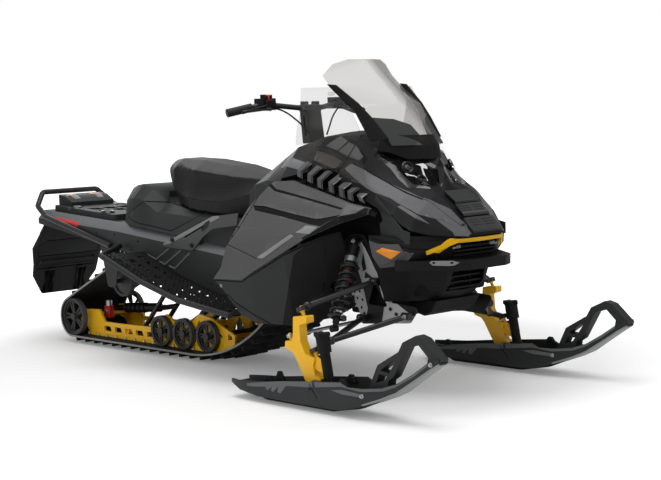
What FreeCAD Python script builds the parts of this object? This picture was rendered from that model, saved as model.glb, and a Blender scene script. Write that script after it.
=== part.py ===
"""Snowmobile: two skis on double-wishbone arms in front, one lugged track under a folded tunnel behind.

Frame: +X forward, +Y to the rider's left, +Z up, millimetres. The origin is on the snow, under the middle
of the whole machine's box. The right-hand pieces are modelled, and the left-hand ones mirror them.
"""
import FreeCAD, Part
import math
import os
import Sketcher

V = FreeCAD.Vector

# Driving sizes: alias, value in millimetres, or degrees where the name says so.
SIZES = (
    # track and what it runs on
    ("track_width", 381),
    ("belt_thickness", 9),
    ("lug_height", 30),
    ("side_lug_height", 22),
    ("lug_inset", 25),
    ("lug_foot", 24),
    ("lug_tip", 12),
    ("lug_count", 48),
    ("centre_lug_width", 120),
    ("rear_wheel_x", -1177),
    ("rear_wheel_radius", 89),
    ("rear_wheel_side", 171),
    ("mid_wheel_radius", 70),
    ("mid_wheel_side", 137),
    ("carrier_x", -795),
    ("carrier_height", 325),
    ("carrier_radius", 75),
    ("carrier_side", 150),
    ("drive_axle_x", 210),
    ("drive_axle_height", 330),
    ("sprocket_radius", 95),
    ("sprocket_side", 75),
    ("sprocket_width", 26),
    ("sprocket_teeth", 9),
    ("wheel_width", 24),
    ("wheel_web", 8),
    ("wheel_rim", 14),
    ("wheel_hub_radius", 17),
    ("wheel_hub_width", 30),
    ("wheel_spokes", 5),
    ("axle_radius", 10),
    ("rail_side", 115),
    ("rail_thickness", 12),
    ("rail_curve_x", -265),
    ("rail_curve_radius", 750),
    ("rail_curve_degrees", 17),
    # tunnel, boards and what stands on them
    ("tunnel_half", 220),
    ("tunnel_wall", 3),
    ("tunnel_shoulder", 38),
    ("board_half", 450),
    ("board_plate", 6),
    ("edge_tube_radius", 12),
    ("loop_tube_radius", 13),
    ("rack_half", 165),
    ("rack_height", 26),
    ("socket_radius", 22),
    ("flap_thickness", 8),
    ("flap_bar_radius", 9),
    # body panels
    ("panel_wall", 9),
    ("panel_gap", 0.9),
    ("vent_bed_wall", 5),
    ("slat_height", 7),
    ("slat_depth", 26),
    ("glass_wall", 4),
    ("gill_wall", 6),
    ("gill_rise", 11),
    ("gill_count", 6),
    # front suspension and steering
    ("ski_stance", 1077),
    ("ski_pivot_x", 940),
    ("ski_pivot_height", 84),
    ("ski_pin_radius", 7),
    ("pin_clearance", 0.4),
    ("tongue_half", 19),
    ("ear_gap", 1),
    ("ear_thickness", 8),
    ("ski_half_width", 71),
    ("ski_wall", 7),
    ("keel_width", 26),
    ("loop_thickness", 42),
    ("kingpin_top_x", 845),
    ("kingpin_top_height", 360),
    ("kingpin_low_x", 909),
    ("kingpin_low_height", 212),
    ("ball_radius", 13),
    ("ball_gap", 0.5),
    ("arm_tube_radius", 11),
    ("arm_neck", 85),
    ("bulkhead_half", 217),
    ("bulkhead_plate", 8),
    ("tie_rod_radius", 7),
    ("tie_pin_radius", 6),
    ("post_radius", 14),
    ("post_clearance", 1),
    ("bar_radius", 11),
    ("grip_radius", 17),
    ("grip_length", 110),
    ("shock_radius", 24),
)

doc = FreeCAD.newDocument("snowmobile")
sheet = doc.addObject("Spreadsheet::Sheet", "Sizes")
for line, (alias, value) in enumerate(SIZES, start=1):
    sheet.set("A%d" % line, alias)
    sheet.set("B%d" % line, str(value))
    sheet.setAlias("B%d" % line, alias)
doc.recompute()

nodes = []


def size(alias):
    """Value of one cell of the sheet."""
    return float(sheet.get(alias))


def cell(alias):
    """Expression that reads one cell of the sheet."""
    return "Sizes." + alias


def node(thing, label):
    """Marks a finished sub-part: its label names its file."""
    thing.Label = label
    nodes.append(thing)
    return thing


# ---------------------------------------------------------------- outlines and features


def rounded_edges(points, radii, closed):
    """Lines through the points, with a tangent arc of the given radius at each corner."""
    count = len(points)
    before = []
    after = []
    middles = []
    for index, point in enumerate(points):
        radius = radii[index]
        inner = closed or 0 < index < count - 1
        if radius <= 0 or not inner:
            before.append(point)
            after.append(point)
            middles.append(None)
            continue
        back = (points[index - 1] - point).normalize()
        ahead = (points[(index + 1) % count] - point).normalize()
        half = back.getAngle(ahead) / 2
        reach = radius / math.tan(half)
        bisector = (back + ahead).normalize()
        before.append(point + back * reach)
        after.append(point + ahead * reach)
        middles.append(point + bisector * (radius / math.sin(half) - radius))
    edges = []
    for index in range(count):
        if middles[index] is not None:
            edges.append(Part.Arc(before[index], middles[index], after[index]))
        if index == count - 1 and not closed:
            break
        follower = before[(index + 1) % count]
        if after[index].distanceToPoint(follower) > 1e-6:
            edges.append(Part.LineSegment(after[index], follower))
    return edges


def flat_edges(corners):
    """Closed outline from (a, b) or (a, b, corner radius) corners."""
    points = [V(corner[0], corner[1], 0) for corner in corners]
    radii = [corner[2] if len(corner) > 2 else 0 for corner in corners]
    return rounded_edges(points, radii, True)


def new_body(name):
    return doc.addObject("PartDesign::Body", name)


def sketch(body, role, loops, offset=0, circles=()):
    """Sketch on one origin plane of its own body, moved along that plane's world axis by offset."""
    plane = [feature for feature in body.Origin.OriginFeatures if feature.Role == role][0]
    drawing = body.newObject("Sketcher::SketchObject", body.Name + "_outline")
    drawing.AttachmentSupport = [(plane, "")]
    drawing.MapMode = "FlatFace"
    normal = -1 if role == "XZ_Plane" else 1
    drawing.AttachmentOffset = FreeCAD.Placement(V(0, 0, normal * offset), FreeCAD.Rotation())
    for corners in loops:
        drawing.addGeometry(flat_edges(corners), False)
    for across, up, alias in circles:
        index = drawing.addGeometry(Part.Circle(V(across, up, 0), V(0, 0, 1), size(alias)), False)
        constraint = drawing.addConstraint(Sketcher.Constraint("Radius", index, size(alias)))
        drawing.setExpression("Constraints[%d]" % constraint, cell(alias))
    return drawing


def pad(body, drawing, length, symmetric=True, reverse=False):
    """Pad whose length is an expression on the sheet."""
    feature = body.newObject("PartDesign::Pad", body.Name + "_pad")
    feature.Profile = drawing
    feature.setExpression("Length", length)
    feature.SideType = "Symmetric" if symmetric else "One side"
    feature.Reversed = reverse
    return feature


def pocket(body, drawing):
    """Pocket right through, both ways from its sketch."""
    feature = body.newObject("PartDesign::Pocket", body.Name + "_pocket")
    feature.Profile = drawing
    feature.Type = "ThroughAll"
    feature.SideType = "Symmetric"
    return feature


def plate(name, role, corners, length, offset=0, holes=(), circles=()):
    """Flat piece: one outline padded by an expression, half to each side of its plane."""
    body = new_body(name)
    drawing = sketch(body, role, [corners] + list(holes), offset, circles)
    pad(body, drawing, length)
    return body


def loft(name, role, stations, offsets):
    """Ruled loft through closed outlines, each on a plane at its own offset."""
    body = new_body(name)
    drawings = [sketch(body, role, [corners], offset) for corners, offset in zip(stations, offsets)]
    feature = body.newObject("PartDesign::AdditiveLoft", name + "_loft")
    feature.Profile = drawings[0]
    feature.Sections = drawings[1:]
    feature.Ruled = True
    return body


def tube(name, points, alias, bend=0):
    """Round bar along straight runs joined by tangent arcs."""
    places = [V(*point) for point in points]
    path = doc.addObject("Part::Feature", name + "_path")
    edges = rounded_edges(places, [bend] * len(places), False)
    path.Shape = Part.Wire([edge.toShape() for edge in edges])
    section = doc.addObject("Part::Circle", name + "_section")
    section.setExpression("Radius", cell(alias))
    section.Placement = FreeCAD.Placement(places[0], FreeCAD.Rotation(V(0, 0, 1), places[1] - places[0]))
    sweep = doc.addObject("Part::Sweep", name)
    sweep.Sections = [section]
    sweep.Spine = (path, ["Edge%d" % (index + 1) for index in range(len(edges))])
    sweep.Solid = True
    return sweep


def cylinder(name, start, end, alias, extra=0):
    """Cylinder between two points, its radius read from the sheet."""
    first = V(*start)
    run = V(*end) - first
    feature = doc.addObject("Part::Cylinder", name)
    feature.setExpression("Radius", cell(alias) + " + %g" % extra)
    feature.Height = run.Length
    feature.Placement = FreeCAD.Placement(first, FreeCAD.Rotation(V(0, 0, 1), run))
    return feature


def ball(name, place, alias, extra=0):
    feature = doc.addObject("Part::Sphere", name)
    feature.setExpression("Radius", cell(alias) + " + %g" % extra)
    feature.Placement.Base = V(*place)
    return feature


def block(name, low, high):
    """Box between two opposite corners."""
    feature = doc.addObject("Part::Box", name)
    feature.Length = high[0] - low[0]
    feature.Width = high[1] - low[1]
    feature.Height = high[2] - low[2]
    feature.Placement.Base = V(*low)
    return feature


def fuse(name, pieces):
    feature = doc.addObject("Part::MultiFuse", name)
    feature.Shapes = pieces
    feature.Refine = True
    return feature


def cut(name, base, tool):
    feature = doc.addObject("Part::Cut", name)
    feature.Base = base
    feature.Tool = tool
    return feature


def common(name, first, second):
    feature = doc.addObject("Part::MultiCommon", name)
    feature.Shapes = [first, second]
    return feature


def mirrored(name, source):
    """The same piece on the other side of the machine's middle plane."""
    feature = doc.addObject("Part::Mirroring", name)
    feature.Source = source
    feature.Normal = V(0, 1, 0)
    return feature


def group(name, pieces):
    """Separate solids that share a node."""
    feature = doc.addObject("Part::Compound", name)
    feature.Links = pieces
    return feature


def pair(label, make):
    """Right-hand piece from make(), and its mirror image, as two nodes."""
    right = node(make(label + "_right"), label + "_right")
    left = node(mirrored(label + "_left", right), label + "_left")
    return right, left


def both(name, make):
    """Right-hand piece and its mirror image as two solids of one node."""
    right = make(name + "_right")
    return group(name, [right, mirrored(name + "_left", right)])


def offset_line(points, distance, closed=False):
    """The (a, b) line moved to its own right-hand side by distance, with mitred corners."""
    count = len(points)
    normals = []
    for index in range(count if closed else count - 1):
        first = points[index]
        second = points[(index + 1) % count]
        run = V(second[0] - first[0], second[1] - first[1], 0).normalize()
        normals.append(V(run.y, -run.x, 0))
    moved = []
    for index, point in enumerate(points):
        before = normals[index - 1] if closed or index > 0 else normals[0]
        after = normals[index] if index < len(normals) else normals[-1]
        mitre = (before + after).normalize()
        shift = mitre * (distance / mitre.dot(after))
        moved.append((point[0] + shift.x, point[1] + shift.y))
    return moved


def thick_line(points, wall):
    """Closed corners of an open (a, b) line, given a wall on its right-hand side."""
    return list(points) + offset_line(points, wall)[::-1]


def mirror_line(points):
    """Open line over both sides, from (y, z) points that run outwards from the middle on the right."""
    right = [(-across, up) for across, up in points]
    left = [(across, up) for across, up in points if across > 0]
    return right[::-1] + left


# ---------------------------------------------------------------- the track and its slide frame

BELT = size("belt_thickness")
LUG = size("lug_height")
GROUND_TO_BELT = LUG + BELT                      # height of the belt's inner face under the rails
REAR_WHEEL = V(size("rear_wheel_x"), 0, GROUND_TO_BELT + size("rear_wheel_radius"))
CARRIER = V(size("carrier_x"), 0, size("carrier_height"))
DRIVE = V(size("drive_axle_x"), 0, size("drive_axle_height"))
CURVE = V(size("rail_curve_x"), 0, GROUND_TO_BELT + size("rail_curve_radius"))

# What the belt runs round, in its order of travel: centre, radius.
GUIDES = (
    (REAR_WHEEL, size("rear_wheel_radius")),
    (CURVE, size("rail_curve_radius")),
    (DRIVE, size("sprocket_radius")),
    (CARRIER, size("carrier_radius")),
)


def outward(first, second):
    """Unit normal, pointing out of the loop, of the belt's straight run between two guides."""
    (start, start_radius), (end, end_radius) = first, second
    span = end - start
    along = span.Length
    lean = (start_radius - end_radius) / along
    forward = V(span.x, 0, span.z) * (1 / along)
    side = V(forward.z, 0, -forward.x)
    return side * math.sqrt(1 - lean * lean) + forward * lean


def belt_runs(outset):
    """Straight runs of the loop, each (start, end), at a distance outside the wheels."""
    runs = []
    for index, guide in enumerate(GUIDES):
        follower = GUIDES[(index + 1) % len(GUIDES)]
        normal = outward(guide, follower)
        start = guide[0] + normal * (guide[1] + outset)
        end = follower[0] + normal * (follower[1] + outset)
        runs.append((start, end, normal))
    return runs


def belt_wire(outset):
    """Closed wire of the loop: straight runs and arcs round the guides."""
    runs = belt_runs(outset)
    edges = []
    for index, (start, end, normal) in enumerate(runs):
        edges.append(Part.LineSegment(start, end).toShape())
        follower = runs[(index + 1) % len(runs)]
        centre, radius = GUIDES[(index + 1) % len(GUIDES)]
        middle = normal + follower[2]
        if normal.cross(follower[2]).y > 0:
            middle = middle * -1
        middle.normalize()
        edges.append(Part.Arc(end, centre + middle * (radius + outset), follower[0]).toShape())
    return Part.Wire(edges)


def belt_ring():
    """Flat outline of the plain belt."""
    return Part.Face(belt_wire(BELT)).cut(Part.Face(belt_wire(0)))


def lug_strip(phase, height):
    """Flat outline of the belt with one lug per pitch; phase 1 sets the lugs half a pitch on."""
    count = int(size("lug_count"))
    places = belt_wire(BELT).discretize(count * 2 + 1)
    half_foot = size("lug_foot") / 2
    half_tip = size("lug_tip") / 2
    faces = []
    for index in range(count):
        here = places[index * 2 + phase]
        ahead = places[(index * 2 + phase + 1) % (count * 2)]
        behind = places[index * 2 + phase - 1]
        travel = (ahead - behind).normalize()
        out = V(travel.z, 0, -travel.x)
        foot = here - out * (BELT / 2)
        tip = here + out * height
        corners = [foot - travel * half_foot, foot + travel * half_foot, tip + travel * half_tip,
                   tip - travel * half_tip]
        faces.append(Part.Face(Part.makePolygon(corners + corners[:1])))
    return belt_ring().fuse(faces).removeSplitter()


def make_track():
    """Belt with its lugs in the outline: side lugs in one phase, middle lugs half a pitch on, plain edges."""
    plain = belt_ring()
    side_lugs = lug_strip(0, size("side_lug_height"))
    middle_lugs = lug_strip(1, LUG)
    edge = size("track_width") / 2
    outer = edge - size("lug_inset")
    inner = size("centre_lug_width") / 2
    # outline, from, to across the track
    strips = ((plain, -edge, -outer), (side_lugs, -outer, -inner), (middle_lugs, -inner, inner),
              (side_lugs, inner, outer), (plain, outer, edge))
    solids = []
    for outline, low, high in strips:
        strip = outline.copy()
        strip.translate(V(0, low, 0))
        solids.append(strip.extrude(V(0, high - low, 0)))
    track = doc.addObject("Part::Feature", "track_loop")
    track.Shape = solids[0].fuse(solids[1:]).removeSplitter()
    return track


def make_rails():
    """Two slide rails with lightening windows, held apart by cross tubes."""
    bend = math.radians(size("rail_curve_degrees"))
    radius = size("rail_curve_radius")
    base = GROUND_TO_BELT
    front = (CURVE.x + radius * math.sin(bend), CURVE.z - radius * math.cos(bend))
    corners = [
        (-1120, base), (CURVE.x + radius * math.tan(bend / 2), base, radius), front,
        (-40, 128), (-200, 192, 20), (-283, 203, 16), (-372, 142, 20), (-440, 142, 20), (-526, 186, 16),
        (-606, 116), (-890, 110), (-1005, 110, 12), (-1048, 166), (-1205, 158), (-1205, 100),
        (-1160, 88),
    ]
    slots = [[(x, 66), (x + 60, 66), (x + 48, 90), (x, 90)] for x in range(-1010, -640, 84)]
    windows = [
        [(-560, 100), (-480, 100), (-522, 160)],
        [(-330, 100), (-238, 100), (-284, 178)],
        [(-206, 104), (-118, 112), (-206, 168)],
        [(-90, 104), (-60, 108), (-62, 122), (-88, 132)],
    ]
    right = plate("rail_right", "XZ_Plane", corners, cell("rail_thickness"), -size("rail_side"), slots + windows)
    left = mirrored("rail_left", right)
    ties = []
    reach = size("rail_side") - size("rail_thickness") / 2
    for index, (x, z) in enumerate(((-1110, 130), (-840, 78), (-405, 104), (-140, 88))):
        ties.append(cylinder("rail_tie_%d" % index, (x, -reach, z), (x, reach, z), "axle_radius", 3))
    return fuse("rails", [right, left] + ties)


def make_wheel(name, alias, side_alias):
    """Moulded wheel: hub, web with paired windows that leave double spokes, and a tyred rim."""
    radius = size(alias)
    rim = radius - size("wheel_rim")
    hub = size("wheel_hub_radius")
    half_web = size("wheel_web") / 2
    half_rim = size("wheel_width") / 2
    half_hub = size("wheel_hub_width") / 2
    profile = [(0, -half_hub), (hub, -half_hub), (hub, -half_web), (rim, -half_web), (rim, -half_rim),
               (radius, -half_rim), (radius, half_rim), (rim, half_rim), (rim, half_web),
               (hub, half_web), (hub, half_hub), (0, half_hub)]
    body = new_body(name)
    turned = body.newObject("PartDesign::Revolution", name + "_turned")
    turned.Profile = sketch(body, "XY_Plane", [profile])
    turned.ReferenceAxis = (turned.Profile[0], ["V_Axis"])
    turned.Angle = 360
    doc.recompute()
    spokes = int(size("wheel_spokes"))
    share = math.pi / spokes
    near = hub + 5
    far = rim - 4
    wide = [polar(near, -0.42 * share), polar(near, 0.42 * share), polar(far, 0.62 * share),
            polar(far, -0.62 * share)]
    narrow = [polar(near + 4, 0.92 * share), polar(near + 4, 1.08 * share), polar(far, 1.10 * share),
              polar(far, 0.90 * share)]
    window = body.newObject("PartDesign::Pocket", name + "_window")
    window.Profile = sketch(body, "XZ_Plane", [wide, narrow])
    window.Type = "ThroughAll"
    window.SideType = "Symmetric"
    pattern = body.newObject("PartDesign::PolarPattern", name + "_spokes")
    pattern.Originals = [window]
    pattern.Axis = (window.Profile[0], ["N_Axis"])
    pattern.Angle = 360
    pattern.setExpression("Occurrences", cell("wheel_spokes"))
    body.Tip = pattern
    body.Placement.Base = V(0, -size(side_alias), 0)
    return body


def polar(radius, angle):
    return (radius * math.cos(angle), radius * math.sin(angle))


def make_wheel_set(name, place, alias, side_alias, reach):
    """Two wheels on one cross axle."""
    wheel = make_wheel(name + "_wheel", alias, side_alias)
    wheel.Placement.Base = V(place.x, -size(side_alias), place.z)
    other = mirrored(name + "_wheel_left", wheel)
    axle = cylinder(name + "_axle", (place.x, -reach, place.z), (place.x, reach, place.z), "axle_radius")
    return fuse(name + "_set", [wheel, other, axle])


node(make_track(), "track")
rails = make_rails()
rear_reach = size("rear_wheel_side") + size("wheel_hub_width") / 2
mid_reach = size("mid_wheel_side") + size("wheel_hub_width") / 2
MID_HEIGHT = GROUND_TO_BELT + size("mid_wheel_radius")
MID_WHEELS = ((-535, MID_HEIGHT + 0.3), (-374, MID_HEIGHT + 0.3), (-206, MID_HEIGHT + 3.2))
rear_set = make_wheel_set("rear_idlers", REAR_WHEEL, "rear_wheel_radius", "rear_wheel_side", rear_reach)
mid_sets = [
    make_wheel_set("mid_idlers_%d" % index, V(x, 0, z), "mid_wheel_radius", "mid_wheel_side", mid_reach)
    for index, (x, z) in enumerate(MID_WHEELS)
]
carrier_set = make_wheel_set("carrier_wheels", CARRIER, "carrier_radius", "carrier_side", size("tunnel_half") - 3)
bores = [
    cylinder("rail_bore_%d" % index, (x, -size("track_width"), z), (x, size("track_width"), z), "axle_radius")
    for index, (x, z) in enumerate([(REAR_WHEEL.x, REAR_WHEEL.z)] + list(MID_WHEELS))
]
node(cut("rails", rails, fuse("rail_bores", bores)), "slide_rails")
node(rear_set, "rear_idlers")
node(group("mid_idlers", mid_sets), "mid_idlers")
node(carrier_set, "carrier_wheels")



# ---------------------------------------------------------------- drive axle and suspension inside the track


def make_drive_axle():
    """Cross shaft with two toothed sprockets."""
    reach = size("tunnel_half") - size("tunnel_wall")
    shaft = cylinder("drive_shaft", (DRIVE.x, -reach, DRIVE.z), (DRIVE.x, reach, DRIVE.z), "axle_radius", 4)
    teeth = int(size("sprocket_teeth"))
    root = size("sprocket_radius") - 16
    tip = size("sprocket_radius") - 2
    corners = []
    for index in range(teeth):
        for part, radius in ((0.0, root), (0.32, root), (0.42, tip), (0.58, tip), (0.68, root)):
            across, up = polar(radius, 2 * math.pi * (index + part) / teeth)
            corners.append((DRIVE.x + across, DRIVE.z + up))
    right = plate("sprocket_right", "XZ_Plane", corners, cell("sprocket_width"), -size("sprocket_side"))
    return fuse("drive_axle_whole", [shaft, right, mirrored("sprocket_left", right)])


def make_swing_arm(name, top, foot, leg_side, reach):
    """H-shaped arm: a cross tube in the tunnel, two legs, and a cross tube in the rails."""
    rail_inner = size("rail_side") - size("rail_thickness") / 2
    pieces = [
        cylinder(name + "_top", (top[0], -reach, top[1]), (top[0], reach, top[1]), "axle_radius", 2),
        cylinder(name + "_foot", (foot[0], -rail_inner, foot[1]), (foot[0], rail_inner, foot[1]), "axle_radius", 2),
    ]
    for side in (-1, 1):
        start = (top[0], side * leg_side, top[1])
        end = (foot[0], side * leg_side, foot[1])
        pieces.append(cylinder(name + "_leg", start, end, "axle_radius", 1))
    return fuse(name, pieces)


SIDE_INNER = size("tunnel_half") - size("tunnel_wall")
FRONT_ARM_TOP = (-40, 350)
FRONT_ARM_FOOT = (-470, 118)
REAR_ARM_TOP = (-520, 350)
REAR_ARM_FOOT = (-780, 84)
node(make_drive_axle(), "drive_axle")
front_arm = make_swing_arm("front_arm", FRONT_ARM_TOP, FRONT_ARM_FOOT, 60, SIDE_INNER)
rear_arm = make_swing_arm("rear_arm", REAR_ARM_TOP, REAR_ARM_FOOT, 60, SIDE_INNER)
DAMPER_TIE = (-676, 190.4)
damper_tie = cylinder("damper_tie", (DAMPER_TIE[0], -60, DAMPER_TIE[1]), (DAMPER_TIE[0], 60, DAMPER_TIE[1]),
                      "axle_radius", 2)
rear_arm_whole = fuse("rear_arm_whole", [rear_arm, damper_tie])
node(group("slide_arm_pair", [front_arm, rear_arm_whole]), "slide_arms")


def make_damper(name, start, end, alias):
    """Damper on one axis: body, coil-like bands, rod and an eye at each end."""
    first = V(*start)
    run = V(*end) - first
    length = run.Length
    eye = 14
    body = new_body(name + "_body")
    radius = size(alias)
    profile = [(0, eye - 4), (9, eye - 4), (9, eye + 8), (radius * 0.55, eye + 8), (radius * 0.55, length * 0.30)]
    step = length * 0.42 / 5
    for index in range(5):
        base = length * 0.30 + step * index
        profile += [(radius, base), (radius, base + step * 0.6), (radius * 0.78, base + step * 0.6),
                    (radius * 0.78, base + step)]
    profile += [(radius * 0.9, length * 0.72), (radius * 0.9, length - eye - 10), (9, length - eye - 10),
                (9, length - eye + 4), (0, length - eye + 4)]
    turned = body.newObject("PartDesign::Revolution", name + "_turned")
    turned.Profile = sketch(body, "XZ_Plane", [profile])
    turned.ReferenceAxis = (turned.Profile[0], ["V_Axis"])
    turned.Angle = 360
    doc.recompute()
    body.Placement = FreeCAD.Placement(first, FreeCAD.Rotation(V(0, 0, 1), run))
    eyes = []
    for place in (start, end):
        low = (place[0], place[1] - 14, place[2])
        high = (place[0], place[1] + 14, place[2])
        eyes.append(cylinder(name + "_eye", low, high, "axle_radius", 2))
    return fuse(name + "_whole", [body] + eyes)


REAR_TIE = (-1110, 130)
damper_foot = (REAR_TIE[0], 0, REAR_TIE[1] + 25.3)
damper_head = (DAMPER_TIE[0] - 24.2, 0, DAMPER_TIE[1] - 2)
node(make_damper("rear_damper", damper_foot, damper_head, "shock_radius"), "rear_damper")

# ---------------------------------------------------------------- tunnel, boards, rack, rear loop and flap

SEAT_GAP = 0.3                                   # between pieces that rest on each other

# Tunnel stations: x, height of the top, height of the lower edge.
TUNNEL = ((-1385, 640, 575), (-1290, 634, 562), (-730, 598, 476), (0, 528, 312), (350, 494, 262))


def tunnel_top(x):
    """Height of the tunnel's top at x."""
    for first, second in zip(TUNNEL, TUNNEL[1:]):
        if x <= second[0]:
            share = (x - first[0]) / (second[0] - first[0])
            return first[1] + (second[1] - first[1]) * share
    return TUNNEL[-1][1]


def make_tunnel():
    """Folded sheet with chamfered shoulders, and the hangers that carry the slide frame."""
    half = size("tunnel_half")
    shoulder = size("tunnel_shoulder")
    outlines = []
    for x, top, low in TUNNEL:
        line = mirror_line([(half - shoulder, top), (half, top - shoulder), (half, low)])
        outlines.append(thick_line(line, size("tunnel_wall")))
    sheet_metal = loft("tunnel_sheet", "YZ_Plane", outlines, [station[0] for station in TUNNEL])
    pieces = [sheet_metal]
    hanger = (
        # name, outline
        ("carrier_hanger", [(-880, 520), (-720, 490), (-765, 300, 20), (-825, 300, 20)]),
        ("rear_arm_hanger", [(-600, 470), (-440, 440), (-490, 325, 20), (-550, 325, 20)]),
    )
    for name, corners in hanger:
        right = plate(name, "XZ_Plane", corners, cell("tunnel_wall"), -(half - size("tunnel_wall") / 2))
        pieces += [right, mirrored(name + "_left", right)]
    return fuse("tunnel_whole", pieces)


node(make_tunnel(), "tunnel")

# Running board's edge line: x, y, height, from the toe to where it turns up beside the tunnel.
BOARD_EDGE = ((330, -455, 284), (-11, -450, 321), (-256, -450, 381), (-547, -450, 479), (-700, -232.3, 497))


def make_board(name):
    """Toothed grip board from the tunnel out to its edge tube."""
    line = [(x, z) for x, y, z in BOARD_EDGE[:4]]
    corners = thick_line(line, -size("board_plate"))
    slots = []
    inner = size("tunnel_half")
    width = size("board_half") - inner
    board = plate(name + "_plate", "XZ_Plane", corners, "Sizes.board_half - Sizes.tunnel_half", -(inner + width / 2))
    for x in range(-500, 300, 58):
        slots.append([(x, -290), (x + 34, -290), (x + 34, -262), (x, -262)])
        slots.append([(x + 20, -350), (x + 54, -350), (x + 54, -322), (x + 20, -322)])
        slots.append([(x, -410), (x + 34, -410), (x + 34, -382), (x, -382)])
    pocket(board, sketch(board, "XY_Plane", slots))
    edge = tube(name + "_edge", BOARD_EDGE, "edge_tube_radius", 30)
    return fuse(name + "_whole", [board, edge])


pair("running_board", make_board)

# Rear grab loop: x, y, height, along the tunnel's side, up and across.
LOOP = ((-775, -233.3, 494), (-1300, -233.3, 612), (-1395, -215, 660), (-1430, -160, 724))
loop_points = list(LOOP) + [(x, -y, z) for x, y, z in LOOP[::-1]]
node(tube("rear_grab_loop", loop_points, "loop_tube_radius", 28), "rear_grab_loop")


FLAP_HINGE = V(-1403, 0, 629)
FLAP_LEAN = 18


def make_flap():
    """Hanging flap: eight-sided sheet with upright ribs, leaning back from a bar under the grab loop."""
    corners = [(-130, 0), (130, 0), (212, -192), (193, -279), (188, -342), (122, -441, 12), (-122, -441, 12),
               (-188, -342), (-193, -279), (-212, -192)]
    lean = FreeCAD.Placement(FLAP_HINGE, FreeCAD.Rotation(V(0, 1, 0), FLAP_LEAN))
    pieces = [plate("flap", "YZ_Plane", corners, cell("flap_thickness"))]
    ribs = [[(y - 14, -426), (y + 14, -426), (y + 14, -304), (y - 14, -304)] for y in (-84, 84)]
    ribs.append([(-170, -276), (170, -276), (160, -261), (-160, -261)])
    for index, rib in enumerate(ribs):
        pieces.append(plate("flap_rib_%d" % index, "YZ_Plane", rib, "2 * Sizes.flap_thickness + 8"))
    for piece in pieces:
        piece.Placement = lean
    bar = cylinder("flap_bar", FLAP_HINGE - V(0, 140, 0), FLAP_HINGE + V(0, 140, 0), "flap_bar_radius")
    arms = []
    for side in (-1, 1):
        start = FLAP_HINGE + V(0, side * 128, 0)
        foot = V(TUNNEL[0][0] + 10, start.y, start.z)
        arms.append(cylinder("flap_arm", start, foot, "flap_bar_radius", -2))
    return fuse("flap_whole", pieces + [bar] + arms)


node(make_flap(), "snow_flap")


def make_rack():
    """Cargo plate on the tunnel: a rimmed grid with four anchor sockets."""
    half = size("rack_half")
    rear, front = -1340, -835
    corners = [(rear, -half, 30), (front, -half, 20), (front, half, 20), (rear, half, 30)]
    sockets = [(x, side * (half - 34), "socket_radius") for x in (-1190, -930) for side in (-1, 1)]
    holes = []
    for x in (-1120, -1040):
        for y in (-118, -34, 50):
            holes.append([(x, y), (x + 62, y), (x + 62, y + 66), (x, y + 66)])
    body = plate("rack_plate", "XY_Plane", corners, cell("rack_height"), 0, holes, sockets)
    slope = math.degrees(math.atan2(tunnel_top(rear) - tunnel_top(front), front - rear))
    lean = FreeCAD.Rotation(V(0, 1, 0), slope)
    middle = (rear + front) / 2
    foot = V(middle, 0, tunnel_top(middle) + size("rack_height") / 2 + SEAT_GAP)
    body.Placement = FreeCAD.Placement(foot - lean.multVec(V(middle, 0, 0)), lean)
    return body


node(make_rack(), "cargo_rack")


def rack_top(x):
    """Height of the rack's upper face at x."""
    slope = (tunnel_top(-1340) - tunnel_top(-835)) / 505
    return tunnel_top(-1087.5) + size("rack_height") + SEAT_GAP + slope * (-1087.5 - x)


def make_tail_lamp():
    """Wedge housing across the rear of the rack."""
    corners = [(-1345, rack_top(-1345) + SEAT_GAP), (-1240, rack_top(-1240) + SEAT_GAP), (-1235, 676), (-1290, 704),
               (-1345, 712)]
    return plate("tail_lamp_body", "XZ_Plane", corners, "Sizes.rack_half * 1.5")


node(make_tail_lamp(), "tail_lamp")

# ---------------------------------------------------------------- seat, box and braces

# Seat stations: x, then half width and height at the crown, shoulder, seam and foot.
SEAT = (
    (-560, 22, 868, 48, 838, 50, 770, 44, 715),
    (-500, 40, 884, 88, 848, 100, 778, 92, 694),
    (-430, 55, 889, 118, 848, 138, 778, 124, 684),
    (-270, 60, 882, 138, 838, 162, 745, 148, 668),
    (-60, 56, 858, 122, 822, 172, 712, 160, 652.5),
    (60, 52, 832, 100, 800, 168, 735, 155, 652),
    (160, 48, 815, 88, 790, 150, 765, 140, 652),
)
# Box stations: x, half width on top, top, half width at the waist, its height, half width below.
BOX = (
    (-820, 55, 738, 80, 700, 95),
    (-760, 100, 754, 140, 700, 155),
    (-730, 110, 761, 155, 703, 171),
    (-690, 124, 770, 176, 708, 192),
    (-640, 130, 776, 188, 715, 204),
    (-575, 126, 752, 186, 705, 205),
    (-500, 84, 692, 165, 650, 205),
    (-270, 120, 666, 160, 640, 205),
    (-60, 130, 650.5, 160, 640, 205),
    (160, 120, 650, 150, 640, 190),
)
BOX_OUTLINES = [station + (tunnel_top(station[0]) + SEAT_GAP,) for station in BOX]


def six_sided(stations):
    """Closed outlines with a top, a bulge and a bottom on each side."""
    outlines = []
    for x, top_half, top, bulge_half, bulge, low_half, low in stations:
        outlines.append([(-top_half, top), (top_half, top), (bulge_half, bulge), (low_half, low),
                         (-low_half, low), (-bulge_half, bulge)])
    return outlines


def eight_sided(stations):
    """Closed outlines with a crown, a shoulder, a seam and a foot on each side."""
    outlines = []
    for station in stations:
        right = [(-across, up) for across, up in zip(station[1::2], station[2::2])]
        left = [(-across, up) for across, up in right[::-1]]
        outlines.append(right + left)
    return outlines


node(loft("seat_cushion", "YZ_Plane", eight_sided(SEAT), [station[0] for station in SEAT]), "seat")


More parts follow.
